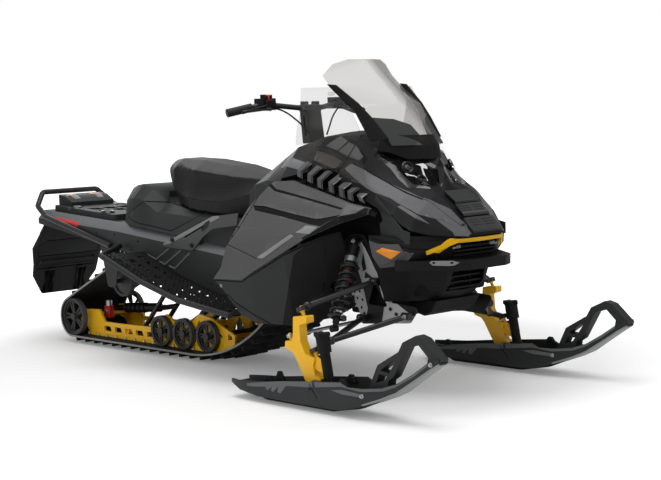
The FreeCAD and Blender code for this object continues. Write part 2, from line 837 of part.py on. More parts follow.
def make_seat_box():
    """Faceted storage box, with the seat's print in its top."""
    shell = loft("seat_box_shell", "YZ_Plane", six_sided(BOX_OUTLINES), [station[0] for station in BOX])
    prints = [offset_line(outline, SEAT_GAP, True) for outline in eight_sided(SEAT)]
    stations = [SEAT[0][0] - SEAT_GAP] + [station[0] for station in SEAT[1:]]
    return cut("seat_box_whole", shell, loft("seat_print", "YZ_Plane", prints, stations))


node(make_seat_box(), "seat_box")


def make_brace(name):
    """Sloping side brace from the tunnel's shoulder up to the seat's front."""
    corners = [(-420, 508, 8), (-180, 500, 8), (-110, 560), (-40, 600), (120, 620), (130, 672), (-40, 652, 10)]
    window = [(-150, 562, 8), (-70, 604, 8), (-50, 640, 4), (-90, 622, 4)]
    body = plate(name, "XZ_Plane", corners, "6", -(size("tunnel_half") + 3.3), [window])
    return body


node(both("seat_brace_pair", make_brace), "seat_braces")

# ---------------------------------------------------------------- body panels

WALL = size("panel_wall")


def shell_across(name, stations, wall=WALL, proud=0):
    """Hollow panel over both sides: at each x, a line from the middle outwards, walled on its inside."""
    lines = [offset_line(mirror_line(line), -proud) for x, line in stations]
    return loft(name, "YZ_Plane", [thick_line(line, wall) for line in lines], [x for x, line in stations])


def shell_side(name, stations, wall=WALL, proud=0):
    """Hollow right-hand panel: at each x, a line from its top edge outwards and down."""
    lines = [offset_line([(-across, up) for across, up in line[::-1]], -proud) for x, line in stations]
    return loft(name, "YZ_Plane", [thick_line(line, wall) for line in lines], [x for x, line in stations])


def plan_line(points):
    """Open plan line from the left rear round the front to the right rear."""
    left = [(x, y) for x, y in points if y]
    return left[::-1] + [(x, -y) for x, y in points]


def shell_plan(name, levels, wall=WALL, proud=0):
    """Hollow nose: at each height, a plan line from the front middle back to the rear."""
    lines = [offset_line(plan_line(points), -proud) for z, points in levels]
    return loft(name, "XY_Plane", [thick_line(line, wall) for line in lines], [z for z, points in levels])


def core_plan(name, levels):
    """The same nose as a solid."""
    return loft(name, "XY_Plane", [plan_line(points) for z, points in levels], [z for z, points in levels])


# Hood: x, then (across, up) at the middle, crest, lens foot, band top, band foot and skirt.
HOOD = (
    (770, [(0, 1000), (60, 996), (130, 985), (214, 892), (252, 852), (262, 800)]),
    (920, [(0, 962), (70, 950), (174, 914), (224, 834), (262, 792), (272, 745)]),
    (1060, [(0, 893), (36, 850), (107, 801), (203, 765), (246, 723), (270, 690)]),
    (1094, [(0, 822), (38, 793), (98, 789), (184, 751), (237, 703), (264, 662)]),
    (1132, [(0, 765), (60, 765), (95, 764), (158, 736), (226, 682), (256, 640)]),
    (1190, [(0, 722), (62, 722), (92, 716), (138, 690), (184, 646), (206, 622)]),
    (1252, [(0, 656), (66, 656), (86, 652), (112, 640), (130, 626), (138, 616)]),
    (1285, [(0, 622), (70, 622), (84, 622), (92, 621), (98, 618), (102, 612)]),
)
# Nose: height, then (x, across) at the front middle, front corner, side and rear.
NOSE = (
    (366, [(1130, 0), (1120, 90), (1050, 195), (985, 245)]),
    (430, [(1200, 0), (1180, 110), (1080, 215), (985, 262)]),
    (505, [(1215, 0), (1195, 125), (1110, 245), (985, 292)]),
    (560, [(1240, 0), (1220, 132), (1140, 272), (980, 302)]),
    (602, [(1262, 0), (1250, 126), (1148, 268), (965, 300)]),
    (618, [(1256, 0), (1246, 122), (1142, 258), (960, 296)]),
)
NOSE_GROWN = [(z, [(x + SEAT_GAP, y + SEAT_GAP if y else 0) for x, y in points]) for z, points in NOSE]
# Side panel: x, then (across, up) at the top edge, upper crease, lower crease, waist and tuck.
SIDE = (
    (230, [(275, 850), (340, 715), (425, 560), (455, 430), (440, 300)]),
    (540, [(282, 822), (345, 735), (420, 600), (452, 480), (430, 300)]),
    (760, [(308, 782), (360, 715), (410, 640), (425, 590), (400, 400)]),
    (900, [(328, 748), (365, 715), (385, 690), (392, 665), (370, 500)]),
    (985, [(292, 730), (312, 719), (318, 711), (319, 700), (312, 600)]),
)
# Lower side panel: x, then (across, up) at its top, middle and foot.
LOWER = (
    (230, [(455, 430), (452, 360), (430, 255)]),
    (455, [(450, 465), (440, 350), (420, 255)]),
    (626, [(425, 560), (400, 400), (382, 255)]),
    (740, [(352, 612), (300, 430), (262, 270)]),
    (800, [(300, 640), (234.7, 480), (224.7, 300)]),
)
SPLIT = ((235, 426), (402, 430), (749, 610), (981, 698))


def make_side_panel(name):
    """Faceted upper panel that runs forward into a spear."""
    skin = shell_side(name + "_skin", SIDE)
    corners = [SPLIT[0], (273, 472), (287, 555), (345, 715, 20), (433, 811, 20), (540, 816), (871, 746),
               (981, 720), SPLIT[3], SPLIT[2], SPLIT[1] + (20,)]
    trim = plate(name + "_trim", "XZ_Plane", corners, "Sizes.board_half * 4")
    return common(name + "_whole", skin, trim)


def make_lower_panel(name):
    """Dark panel under the split line, turning in at the front to the suspension bay."""
    skin = shell_side(name + "_skin", LOWER)
    gap = size("panel_gap")
    corners = [(SPLIT[0][0], SPLIT[0][1] - gap), (301, 374, 6), (371, 288, 10), (455, 261), (626, 261, 20), (740, 290),
               (800, 330), (800, 374), (720, 380, 4), (720, 424, 4), (800, 430), (800, 626 - gap), (SPLIT[2][0], SPLIT[2][1] - gap), (SPLIT[1][0], SPLIT[1][1] - gap, 20)]
    trim = plate(name + "_trim", "XZ_Plane", corners, "Sizes.board_half * 4")
    return common(name + "_whole", skin, trim)


pair("side_panel", make_side_panel)
pair("lower_panel", make_lower_panel)

# Console: x, half width on top, top, half width at the knee, its height, half width below.
CONSOLE = (
    (161, 85, 822, 185, 745, 195),
    (220, 105, 848, 205, 790, 205),
    (340, 130, 902, 245, 812, 212),
    (430, 150, 940, 250, 812, 214),
)
POST_TOP = V(363, 0, 967)
POST_AXIS = V(-0.45, 0, 0.893).normalize()
POST_FOOT = POST_TOP - POST_AXIS * 290


def make_console():
    """Tank cover between the knees, bored for the steering post."""
    outlines = six_sided([station + (tunnel_top(station[0]) + SEAT_GAP,) for station in CONSOLE])
    cover = loft("console_cover", "YZ_Plane", outlines, [station[0] for station in CONSOLE])
    high = POST_TOP + POST_AXIS * 60
    low = POST_FOOT - POST_AXIS * 60
    bore = cylinder("console_bore", low, high, "post_radius", size("post_clearance"))
    return cut("console_whole", cover, bore)


node(make_console(), "console")

DASH = (
    (430.3, [(0, 950), (150, 942), (250, 822)]),
    (600, [(0, 1000), (150, 985), (262, 850)]),
    (769.7, [(0, 1002), (130, 987), (240, 870)]),
)
node(shell_across("dash_shell", DASH), "dash")


# Gill sheet: x, then (across, up) from the hood's skirt out to the side panel.
GILLS = (
    (430.3, [(232, 812), (242, 808), (256, 801), (262, 788)]),
    (600, [(238, 826), (250, 816), (265, 803), (272, 778)]),
    (770, [(240, 786), (256, 780), (276, 769), (285, 744)]),
    (980, [(236, 716), (252, 708), (268, 698), (280, 686)]),
)
GILL_PITCH = 86
GILL_REACH = 72


def gill_line(x):
    """Outer three points of the gill sheet's line at x."""
    for (start, first), (end, second) in zip(GILLS, GILLS[1:]):
        if x <= end:
            share = (x - start) / (end - start)
            return [(a + (c - a) * share, b + (d - b) * share) for (a, b), (c, d) in zip(first[1:], second[1:])]
    return GILLS[-1][1][1:]


def make_gills(name):
    """Overlapping louvers between the hood and the side panel, on a backing sheet."""
    pieces = [shell_side(name + "_sheet", GILLS, size("gill_wall"))]
    for index in range(int(size("gill_count"))):
        start = GILLS[0][0] + 12 + GILL_PITCH * index
        end = start + GILL_REACH
        low = [(-across, up) for across, up in gill_line(start)[::-1]]
        high = offset_line([(-across, up) for across, up in gill_line(end)[::-1]], -size("gill_rise"))
        outlines = [thick_line(low, size("gill_wall") - 1), thick_line(high, size("gill_wall") - 1)]
        pieces.append(loft(name + "_%d" % index, "YZ_Plane", outlines, [start, end]))
    return fuse(name + "_fused", pieces)


node(both("gill_pair", make_gills), "gill_louvers")

# Headlamp: (x, height) corners of its lens in the side view.
HEADLAMP = ((885, 930), (970, 873), (1006, 836), (1047, 803), (1092, 794), (1068, 851), (998, 887), (951, 915))


def lamp_prism(name, grow):
    """Right-hand side prism through the lens outline."""
    corners = offset_line(HEADLAMP, -grow, True)
    return plate(name, "XZ_Plane", corners, "Sizes.board_half", -size("board_half") / 2 - 1)


def make_headlamp(name):
    """Lens let into the hood's surface."""
    skin = shell_across(name + "_skin", HOOD, WALL + 8, 2)
    return common(name + "_lens", skin, lamp_prism(name + "_outline", 0))


node(both("headlamp_pair", make_headlamp), "headlamps")
hood_shell = shell_across("hood_shell", HOOD)
room_right = lamp_prism("lamp_room_right", -SEAT_GAP)
lamp_rooms = group("lamp_rooms", [room_right, mirrored("lamp_room_left", room_right)])
node(cut("hood_whole", hood_shell, lamp_rooms), "hood")


# Vent box on the hood's front: half width, then (x, height) corners of each blade in the side view.
VENT_BLADES = (
    (67, ((1138, 764), (1138, 775), (1192, 738), (1192, 730), (1155, 752))),
    (73, ((1197, 718), (1197, 728), (1237, 690), (1237, 683), (1204, 712))),
    (83, ((1246, 668), (1246, 677), (1291, 631), (1291, 624), (1286, 626))),
)
VENT_BED = ((1140, 759.1, 59), (1190, 722, 61), (1252, 656, 64), (1284, 623.1, 68))      # x, hood height, half width


def make_hood_grille():
    """Three overlapping blades and short ribs on the middle of the hood's front."""
    bed = [(x, [(0, z), (half, z)]) for x, z, half in VENT_BED]
    pieces = [shell_across("vent_bed", bed, size("vent_bed_wall"), size("vent_bed_wall") + SEAT_GAP)]
    for index, (half, corners) in enumerate(VENT_BLADES):
        pieces.append(plate("vent_blade_%d" % index, "XZ_Plane", corners, "%g" % (2 * half)))
    return fuse("hood_grille_whole", pieces)


node(make_hood_grille(), "hood_grille")

nose_shell = shell_plan("nose_shell", NOSE)
mouths = [block("upper_mouth", (1150, -112, 532), (1300, 112, 592)),
          block("lower_mouth", (1140, -92, 400), (1300, 92, 486))]
node(cut("nose_whole", nose_shell, group("nose_mouths", mouths)), "nose")


# Grille in each mouth: mouth low and high, half width, slat x, slats, post x, post side.
MOUTHS = ((532, 592, 112, 1196, 4, 1186, 60), (400, 486, 92, 1150, 4, 1142, 50))


def make_nose_grille():
    """Slats across the two mouths of the nose, each set on two uprights."""
    grilles = []
    for low, high, half, slat_x, count, post_x, side in MOUTHS:
        tag = "mouth_%d" % low
        reach = half - SEAT_GAP
        pitch = (high - low) / count
        pieces = []
        for index in range(count):
            z = low + pitch * (index + 0.5) - size("slat_height") / 2
            pieces.append(block(tag + "_slat_%d" % index, (slat_x, -reach, z),
                                (slat_x + size("slat_depth"), reach, z + size("slat_height"))))
        for middle in (-side, side):
            pieces.append(block(tag + "_post", (post_x, middle - 5, low + SEAT_GAP),
                                (slat_x + 6, middle + 5, high - SEAT_GAP)))
        grilles.append(fuse(tag + "_grille", pieces))
    return group("nose_grille_whole", grilles)


node(make_nose_grille(), "nose_grille")


def make_strip():
    """Bright lip that follows the nose round the upper mouth."""
    skin = shell_plan("strip_skin", NOSE, 7, 7 + SEAT_GAP)
    line = thick_line([(-208, 548), (-126, 588), (126, 588), (208, 548)], -16)
    band = plate("strip_band", "YZ_Plane", line, "300", 1200)
    return common("accent_strip_whole", skin, band)


node(make_strip(), "accent_strip")


def make_bumper():
    """Bar that juts forward under the grille."""
    corners = [(1078, -282), (1112, -270), (1262, -164, 20), (1292, -100, 20), (1292, 100, 20), (1262, 164, 20),
               (1112, 270), (1078, 282)]
    slab = plate("bumper_slab", "XY_Plane", corners, "38", 508)
    return cut("front_bumper_whole", slab, core_plan("bumper_core", NOSE_GROWN))


node(make_bumper(), "front_bumper")
BELLY = ((1000, 365.7), (1140, 365.7), (1112, 322), (1075, 304), (1015, 318))
node(plate("belly_plate", "XZ_Plane", BELLY, "250"), "belly_pan")
MARKER = ((985, 588), (1020, 508), (1130, 552), (1100, 590))


def make_marker(name):
    """Plate on the nose's cheek that holds the amber side marker."""
    skin = shell_plan(name + "_skin", NOSE, 5, 5 + SEAT_GAP)
    outline = plate(name + "_outline", "XZ_Plane", MARKER, "Sizes.board_half", -size("board_half") / 2 - 1)
    return common(name + "_plate", skin, outline)


node(both("side_marker_pair", make_marker), "side_markers")

# ---------------------------------------------------------------- windshield and its frame


def vee(front, side_x, half, wall, round_radius):
    """Plan outline of a sheet that runs from one side, round the front, to the other side."""
    outer = [(side_x, half), (front, 0, round_radius), (side_x, -half)]
    inner = [(side_x - wall, -half + wall), (front - wall, 0, round_radius - wall), (side_x - wall, half - wall)]
    return outer + inner


# Windshield: height, x at the front middle, x and half width at the sides.
WINDSHIELD = (
    (946, 1046, 950, 146),
    (1000, 1000, 905, 150),
    (1105, 905, 812, 168),
    (1182, 828, 674, 201),
    (1222, 782, 632, 196),
    (1266, 730, 642, 150),
    (1284, 708, 668, 92),
)
# Collar round the glass's foot: the same columns.
FRAME = ((893, 1070, 885, 186), (945, 1057, 900, 170), (985, 1022, 905, 160))
SUPPORT = ((668, 1188), (708, 1184), (812, 1108), (870, 1052), (940, 972), (862, 962), (792, 1080), (700, 1158))
SUPPORT_TURN = 12.5


def make_windshield():
    outlines = [vee(front, side, half, size("glass_wall"), 60) for z, front, side, half in WINDSHIELD]
    return loft("windshield_sheet", "XY_Plane", outlines, [row[0] for row in WINDSHIELD])


def make_support(name):
    """Bent arm up the right-hand edge of the glass."""
    arm = plate(name + "_arm", "XZ_Plane", [(x - SUPPORT[0][0], z) for x, z in SUPPORT], "8")
    arm.Placement = FreeCAD.Placement(V(SUPPORT[0][0], -206.5, 0), FreeCAD.Rotation(V(0, 0, 1), SUPPORT_TURN))
    return arm


def make_windshield_frame():
    """Dark wraparound collar with a bent support up each side."""
    wall = size("glass_wall") + 4
    outlines = [vee(front + 4, side, half, wall, 60) for z, front, side, half in FRAME]
    base = loft("frame_base", "XY_Plane", outlines, [row[0] for row in FRAME])
    right = make_support("frame_support")
    whole = fuse("frame_whole", [base, right, mirrored("frame_support_left", right)])
    outlines = [vee(front + 1.8, side - 1, half + 1.8, size("glass_wall") + 3.6, 60)
                for z, front, side, half in WINDSHIELD]
    room = loft("windshield_room", "XY_Plane", outlines, [row[0] for row in WINDSHIELD])
    fitted = cut("frame_fitted", whole, room)
    lower = shell_across("hood_core", HOOD, 60, SEAT_GAP)
    lamp_skin = shell_across("lamp_top", HOOD, WALL, 3)
    lamp_room = common("lamp_print", lamp_skin, lamp_prism("lamp_print_outline", -SEAT_GAP))
    return cut("frame_cut", fitted, group("frame_rooms", [lower, lamp_room, mirrored("lamp_print_left", lamp_room)]))


node(make_windshield(), "windshield")
node(make_windshield_frame(), "windshield_frame")


# Deflector: height, then x and half width at its rear edge and at its front edge.
DEFLECTOR = (
    (1176, 617, 298, 706, 228),
    (1090, 612, 300, 790, 204),
    (1010, 588, 302, 845, 212),
    (940, 578, 302, 866, 236),
    (850, 790, 290, 912, 262),
    (812, 885, 280, 924, 262),
)
DEFLECTOR_LUGS = ((702, 1150, 226), (796, 1084, 200))      # x, height, half width where each starts


def make_deflector(name):
    """Clear wing beside the windshield, on two lugs from the windshield's support."""
    lines = [[(front, -front_half), (rear, -rear_half)] for z, rear, rear_half, front, front_half in DEFLECTOR]
    outlines = [thick_line(line, size("glass_wall")) for line in lines]
    wing = loft(name + "_wing", "XY_Plane", outlines, [row[0] for row in DEFLECTOR])
    pieces = [wing]
    for index, (x, z, half) in enumerate(DEFLECTOR_LUGS):
        seat_half = 206.5 - (x - SUPPORT[0][0]) * math.tan(math.radians(SUPPORT_TURN)) + 6 + SEAT_GAP
        pieces.append(cylinder(name + "_lug_%d" % index, (x, -half - 6, z), (x, -seat_half, z), "tie_rod_radius"))
    return fuse(name + "_whole", pieces)


node(both("deflector_pair", make_deflector), "wind_deflectors")

# ---------------------------------------------------------------- bulkhead, engine and front suspension

KNEE = size("bulkhead_half")
STANCE = size("ski_stance") / 2
UPPER_BALL = V(size("kingpin_top_x"), -STANCE, size("kingpin_top_height"))
LOWER_BALL = V(size("kingpin_low_x"), -STANCE, size("kingpin_low_height"))
KINGPIN = (UPPER_BALL - LOWER_BALL).normalize()
PIVOT = V(size("ski_pivot_x"), -STANCE, size("ski_pivot_height"))
EYE = 14
EYE_GAP = 0.3
EYE_SIDE = KNEE + EYE + EYE_GAP
UPPER_EYES = (V(925, -EYE_SIDE, 438), V(735, -EYE_SIDE, 405))
LOWER_EYES = (V(1085, -EYE_SIDE, 316), V(852, -EYE_SIDE, 292))
SHOCK_TOP = V(830, -KNEE - 14.3, 588)
SHOCK_FOOT = V(870, -400, 272)


def make_bulkhead():
    """Two cast side plates with windows, joined by cross tubes, that carry the arms and dampers."""
    corners = [(300, 300, 10), (300, 448, 10), (362, 452), (640, 500, 20), (790, 612, 20), (858, 612, 20), (950, 462, 20),
               (986, 376, 6), (1000, 358, 6), (1135, 350, 14), (1085, 288, 14), (836, 266, 10), (818, 330, 12), (640, 330, 16), (600, 290, 10)]
    windows = [[(660, 380, 10), (780, 400, 10), (790, 540, 14), (690, 460, 10)],
               [(870, 345, 8), (980, 340, 8), (905, 430, 10)]]
    right = plate("bulkhead_plate_right", "XZ_Plane", corners, cell("bulkhead_plate"),
                  -(KNEE - size("bulkhead_plate") / 2), windows)
    pieces = [right, mirrored("bulkhead_plate_left", right)]
    for index, (x, z) in enumerate(((828, 588), (880, 300), (960, 320), (930, 440))):
        pieces.append(cylinder("bulkhead_tie_%d" % index, (x, -KNEE + 1, z), (x, KNEE - 1, z), "arm_tube_radius", 2))
    return fuse("bulkhead_whole", pieces)


node(make_bulkhead(), "bulkhead")
inner_half = KNEE - size("bulkhead_plate")
node(block("engine", (470, -inner_half, 345), (792, inner_half, 560)), "engine_block")


def make_arm(name, socket, eyes, neck):
    """Wishbone: two tubes from the frame's eyes to a neck, and a ring round the ball at its end."""
    axis = KINGPIN * 8
    ring = cylinder(name + "_ring", socket - axis, socket + axis, "ball_radius", 7)
    knee = socket + V(0, neck, neck * 0.3)
    start = socket + (knee - socket).normalize() * (size("ball_radius") + 5)
    pieces = [ring, cylinder(name + "_neck", start, knee, "arm_tube_radius", 1)]
    for index, eye in enumerate(eyes):
        pieces.append(cylinder(name + "_eye_%d" % index, eye - V(20, 0, 0), eye + V(20, 0, 0), "arm_tube_radius", 3))
        pieces.append(cylinder(name + "_leg_%d" % index, knee, eye, "arm_tube_radius"))
    pieces.append(ball(name + "_knee", knee, "arm_tube_radius", 5))
    bore = cylinder(name + "_bore", socket - axis * 3, socket + axis * 3, "ball_radius", size("ball_gap"))
    return cut(name + "_whole", fuse(name + "_tubes", pieces), bore)


node(both("upper_arm_pair", lambda name: make_arm(name, UPPER_BALL, UPPER_EYES, 30)), "upper_arms")
node(both("lower_arm_pair", lambda name: make_arm(name, LOWER_BALL, LOWER_EYES, size("arm_neck"))), "lower_arms")
node(both("front_shock_pair", lambda name: make_damper(name, SHOCK_FOOT, SHOCK_TOP, "shock_radius")), "front_shocks")

TIE_BASE = V(784, -STANCE, 236)
TIE_JOINT = TIE_BASE + KINGPIN * 20
TIE_INNER = V(768, -150, 266)
TOWER_FOOT = V(980, -STANCE, 112)
TOWER_TOP = V(962, -STANCE, 208)


def make_spindle(name):
    """Forged leg between the two balls and the ski's pin, with its steering arm and the height adjuster."""
    corners = [(816, 332, 6), (812, 262, 6), (806, 238), (770, 238, 5), (766, 212, 6), (806, 200, 8), (824, 180, 10),
               (874, 98, 20), (916, 64, 18), (958, 62, 18), (962, 108, 14), (926, 120, 8), (916, 160, 8),
               (924, 176, 3), (922, 190, 3), (878, 196, 8), (852, 240, 16), (848, 302, 8), (888, 314, 5),
               (888, 340, 6)]
    bore = [(PIVOT.x, PIVOT.z, "ski_pin_radius")]
    leg = plate(name + "_leg", "XZ_Plane", corners, "2 * Sizes.tongue_half", -STANCE)
    pieces = [leg]
    for tag, centre in (("upper", UPPER_BALL), ("lower", LOWER_BALL)):
        pieces.append(ball(name + "_ball_" + tag, centre, "ball_radius"))
        pieces.append(cylinder(name + "_stud_" + tag, centre, centre - KINGPIN * 32, "ball_radius", -6))
    pieces.append(cylinder(name + "_tie_pin", TIE_BASE - KINGPIN * 8, TIE_BASE + KINGPIN * 30, "tie_pin_radius"))
    pieces.append(cylinder(name + "_tower", TOWER_FOOT, TOWER_TOP, "shock_radius", -5))
    pieces.append(cylinder(name + "_knob", TOWER_TOP, TOWER_TOP + V(-10, 0, 56), "shock_radius", 2))
    bracket = [(900, 160), (930, 196), (978, 170), (978, 128), (930, 140)]
    pieces.append(plate(name + "_bracket", "XZ_Plane", bracket, "Sizes.tongue_half", -STANCE))
    whole = fuse(name + "_solid", pieces)
    side = size("tongue_half") + 5
    pin = cylinder(name + "_bore", PIVOT - V(0, side, 0), PIVOT + V(0, side, 0), "ski_pin_radius",
                   size("pin_clearance"))
    return cut(name + "_whole", whole, pin)


def make_tie_rod(name):
    """Track rod: an eye round the steering arm's pin, and a rod inwards to its inner eye."""
    half = KINGPIN * 6
    eye = cylinder(name + "_eye", TIE_JOINT - half, TIE_JOINT + half, "tie_pin_radius", 7)
    start = TIE_JOINT + (TIE_INNER - TIE_JOINT).normalize() * 10
    rod = cylinder(name + "_rod", start, TIE_INNER, "tie_rod_radius")
    inner = cylinder(name + "_inner", TIE_INNER - V(0, 0, 8), TIE_INNER + V(0, 0, 8), "tie_pin_radius", 7)
    bore = cylinder(name + "_bore", TIE_JOINT - half * 2, TIE_JOINT + half * 2, "tie_pin_radius",
                    size("pin_clearance"))
    return cut(name + "_whole", fuse(name + "_solid", [eye, rod, inner]), bore)


pair("spindle", make_spindle)
pair("tie_rod", make_tie_rod)

# ---------------------------------------------------------------- skis

# Ski: x, height of the sole, height of the side walls, half width.
SKI = (
    (486, 50, 70, 48),
    (548, 34, 72, 66),
    (650, 22, 78, 71),
    (830, 20, 99, 71),
    (1060, 20, 122, 71),
    (1110, 24, 127, 71),
    (1145, 31, 112, 71),
    (1210, 52, 114, 68),
    (1290, 80, 124, 54),
    (1355, 108, 142, 42),
    (1430, 156, 186, 33),
    (1505, 204, 236, 30),
    (1540, 224, 250, 24),
)


def sole_height(x):
    """Height of the ski's inner floor at x."""
    for first, second in zip(SKI, SKI[1:]):
        if x <= second[0]:
            share = (x - first[0]) / (second[0] - first[0])
            return first[1] + (second[1] - first[1]) * share + size("ski_wall")
    return SKI[-1][1] + size("ski_wall")


def ski_section(sole, top, half, room=0):
    """U section: bevelled sole with a wall up each side."""
    wall = size("ski_wall") + room
    bevel = 6
    outer = [(-half, top), (-half, sole + bevel), (-half + bevel, sole), (half - bevel, sole), (half, sole + bevel),
             (half, top)]
    inner = [(half - wall, top), (half - wall, sole + wall), (-half + wall, sole + wall), (-half + wall, top)]
    return [(across - STANCE, up) for across, up in outer + inner]


def make_ski(name):
    """Moulded ski with its keel, the saddle that holds the spindle's foot, and the pin."""
    outlines = [ski_section(sole, top, half) for x, sole, top, half in SKI]
    channel = loft(name + "_channel", "YZ_Plane", outlines, [row[0] for row in SKI])
    sole = SKI[3][1]
    keel_corners = [(556, 36), (640, 0, 60), (1010, 0, 60), (1150, 26), (1236, 60), (1210, 55), (1145, 34),
                    (1060, sole + 3), (650, sole + 5)]
    keel = plate(name + "_keel", "XZ_Plane", keel_corners, cell("keel_width"), -STANCE)
    pieces = [channel, keel]
    ear_corners = [(892, sole + 4), (988, sole + 4), (966, 108, 16), (914, 108, 16)]
    for side in (-1, 1):
        middle = size("tongue_half") + size("ear_gap") + size("ear_thickness") / 2
        pieces.append(plate(name + "_ear", "XZ_Plane", ear_corners, cell("ear_thickness"), -STANCE + side * middle))
    wall = size("ski_half_width") - 1
    pieces.append(cylinder(name + "_pin", PIVOT - V(0, wall, 0), PIVOT + V(0, wall, 0), "ski_pin_radius"))
    return fuse(name + "_whole", pieces)


def make_ski_loop(name):
    """Grab loop over the ski's nose, with a braced rear leg."""
    rear, mid, fore = 1205, 1286, 1478
    corners = [(rear, sole_height(rear) + SEAT_GAP), (1200, 104), (1248, 196), (1350, 252), (1371, 287), (1436, 317),
               (1470, 308), (1546, 242), (1543, sole_height(1540) + 4), (1505, sole_height(1505) + SEAT_GAP),
               (fore, sole_height(fore) + SEAT_GAP), (1488, 246), (1444, 285), (1392, 270), (1325, 160), (1300, 145),
               (1290, sole_height(1290) + SEAT_GAP), (1210, sole_height(1210) + SEAT_GAP)]
    windows = [[(1262, 178), (1322, 218), (1334, 216), (1302, 172)],
               [(1240, 132), (1256, 164), (1292, 160), (1281, 146)]]
    frame = plate(name + "_frame", "XZ_Plane", corners, cell("loop_thickness"), -STANCE, windows)
    outlines = [ski_section(sole, top, half, SEAT_GAP) for x, sole, top, half in SKI]
    return cut(name + "_whole", frame, loft(name + "_room", "YZ_Plane", outlines, [row[0] for row in SKI]))


pair("ski", make_ski)
pair("ski_loop", make_ski_loop)

# ---------------------------------------------------------------- handlebar

BAR = ((246, -365, 1086), (298, -210, 1118), (346, -70, 1101), (346, 70, 1101), (298, 210, 1118), (246, 365, 1086))
bar_tube = tube("bar_tube", BAR, "bar_radius", 40)


def make_handlebar():
    """Steering post, braced riser and bar."""
    post = cylinder("steering_post", POST_FOOT, POST_TOP, "post_radius")
    corners = [(342, 952, 6), (386, 958, 6), (366, 1092, 10), (360, 1114, 8), (332, 1114, 8), (328, 1092, 10)]
    window = [(356, 985, 5), (368, 988, 5), (356, 1070, 5), (346, 1070, 5)]
    riser = plate("riser", "XZ_Plane", corners, "84", 0, [window])
    return fuse("handlebar_whole", [post, riser, bar_tube])


node(make_handlebar(), "handlebar")


def make_grip(name):
    """Grip sleeve on the end of the bar."""
    end = V(*BAR[0])
    run = (V(*BAR[1]) - end).normalize()
    sleeve = cylinder(name + "_sleeve", end + run * 2, end + run * size("grip_length"), "grip_radius")
    bore = cylinder(name + "_bore", end - run * 5, end + run * (size("grip_length") + 5), "bar_radius")
    return cut(name + "_whole", sleeve, bore)


grip = make_grip("grip_right")
node(group("grips_both", [grip, mirrored("grip_left", grip)]), "grips")


def make_controls():
    """Switch pods with levers, and the stop switch on the right-hand one."""
    solids = []
    for side in (-1, 1):
        middle = V(298, side * 206, 1118)
        pod = block("pod", (middle.x - 26, middle.y - 34, middle.z - 24), (middle.x + 30, middle.y + 34, middle.z + 24))
        start = middle + V(26, side * 10, -2)
        lever = tube("lever", [start, start + V(24, side * 30, -6), start + V(-6, side * 130, -30)], "tie_pin_radius", 12)
        pieces = [pod, lever]
        if side < 0:
            pieces.append(cylinder("stop_switch", middle + V(-6, 0, 20), middle + V(-6, 0, 40), "post_radius"))
        whole = fuse("pod_whole", pieces)
        solids.append(cut("pod_cut", whole, bar_tube))
    return group("controls_both", solids)


node(make_controls(), "controls")

# ---------------------------------------------------------------- check, then write

doc.recompute()
broken = [thing.Name for thing in doc.Objects if "Invalid" in thing.State or "Error" in thing.State]
broken += [thing.Label for thing in nodes if thing.Shape.isNull() or not thing.Shape.isValid()]
if broken:
    raise RuntimeError("these failed to build: " + ", ".join(broken))
os.makedirs("parts", exist_ok=True)
for thing in nodes:
    thing.Shape.exportStep("parts/" + thing.Label + ".step")
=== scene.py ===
import math

import bmesh
import bpy
from mathutils import Matrix, Vector


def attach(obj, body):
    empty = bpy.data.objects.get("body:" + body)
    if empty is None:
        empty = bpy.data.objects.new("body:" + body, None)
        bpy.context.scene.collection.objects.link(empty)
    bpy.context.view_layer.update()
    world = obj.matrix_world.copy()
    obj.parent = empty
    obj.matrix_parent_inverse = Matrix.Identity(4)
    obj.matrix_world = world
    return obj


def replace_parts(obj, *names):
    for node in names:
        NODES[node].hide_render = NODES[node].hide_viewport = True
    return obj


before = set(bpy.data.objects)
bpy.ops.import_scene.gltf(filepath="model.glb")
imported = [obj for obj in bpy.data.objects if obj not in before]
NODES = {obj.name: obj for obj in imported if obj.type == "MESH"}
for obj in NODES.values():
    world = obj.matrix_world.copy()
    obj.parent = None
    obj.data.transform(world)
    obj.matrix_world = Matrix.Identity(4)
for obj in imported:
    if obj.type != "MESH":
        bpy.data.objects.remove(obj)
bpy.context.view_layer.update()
scene = bpy.context.scene
MM = 0.001
# Points nearer than this are merged, and a cut this near to a point goes through it.
WELD = 0.02 * MM
ON_THE_CUT = 0.01 * MM
# Each side's name and the sign of its Y.
RIGHT_AND_LEFT = (("right", -1), ("left", 1))
# Half the ski stance: the middle of each ski and of each height adjuster, in mm.
HALF_STANCE = 538.5


# ---------------------------------------------------------------- materials

def linear(code):
    """An sRGB hex value as the linear colour that the shader takes."""
    parts = [int(code[at:at + 2], 16) / 255 for at in (0, 2, 4)]
    return [part / 12.92 if part <= 0.04045 else ((part + 0.055) / 1.055) ** 2.4 for part in parts] + [1.0]


def add(tree, kind, settings, inputs):
    """Adds a node with its settings and its inputs, each a value or another node's output."""
    made = tree.nodes.new("ShaderNode" + kind)
    for name, value in settings.items():
        setattr(made, name, value)
    for name, value in inputs.items():
        if isinstance(value, bpy.types.NodeSocket):
            tree.links.new(value, made.inputs[name])
        else:
            made.inputs[name].default_value = value
    return made


# The slow drift of tone has this many patches to the metre.
DRIFT_SCALE = 9.0
# A glossier grain lowers the roughness by the first, a duller one raises it by the second.
GLOSSIER, DULLER = 0.06, 0.08
# A surface turned from its rounded normal by these cosines starts to be an edge, and is wholly one.
EDGE_FROM, EDGE_FULL = 0.99, 0.80
POLYCARBONATE_IOR = 1.58


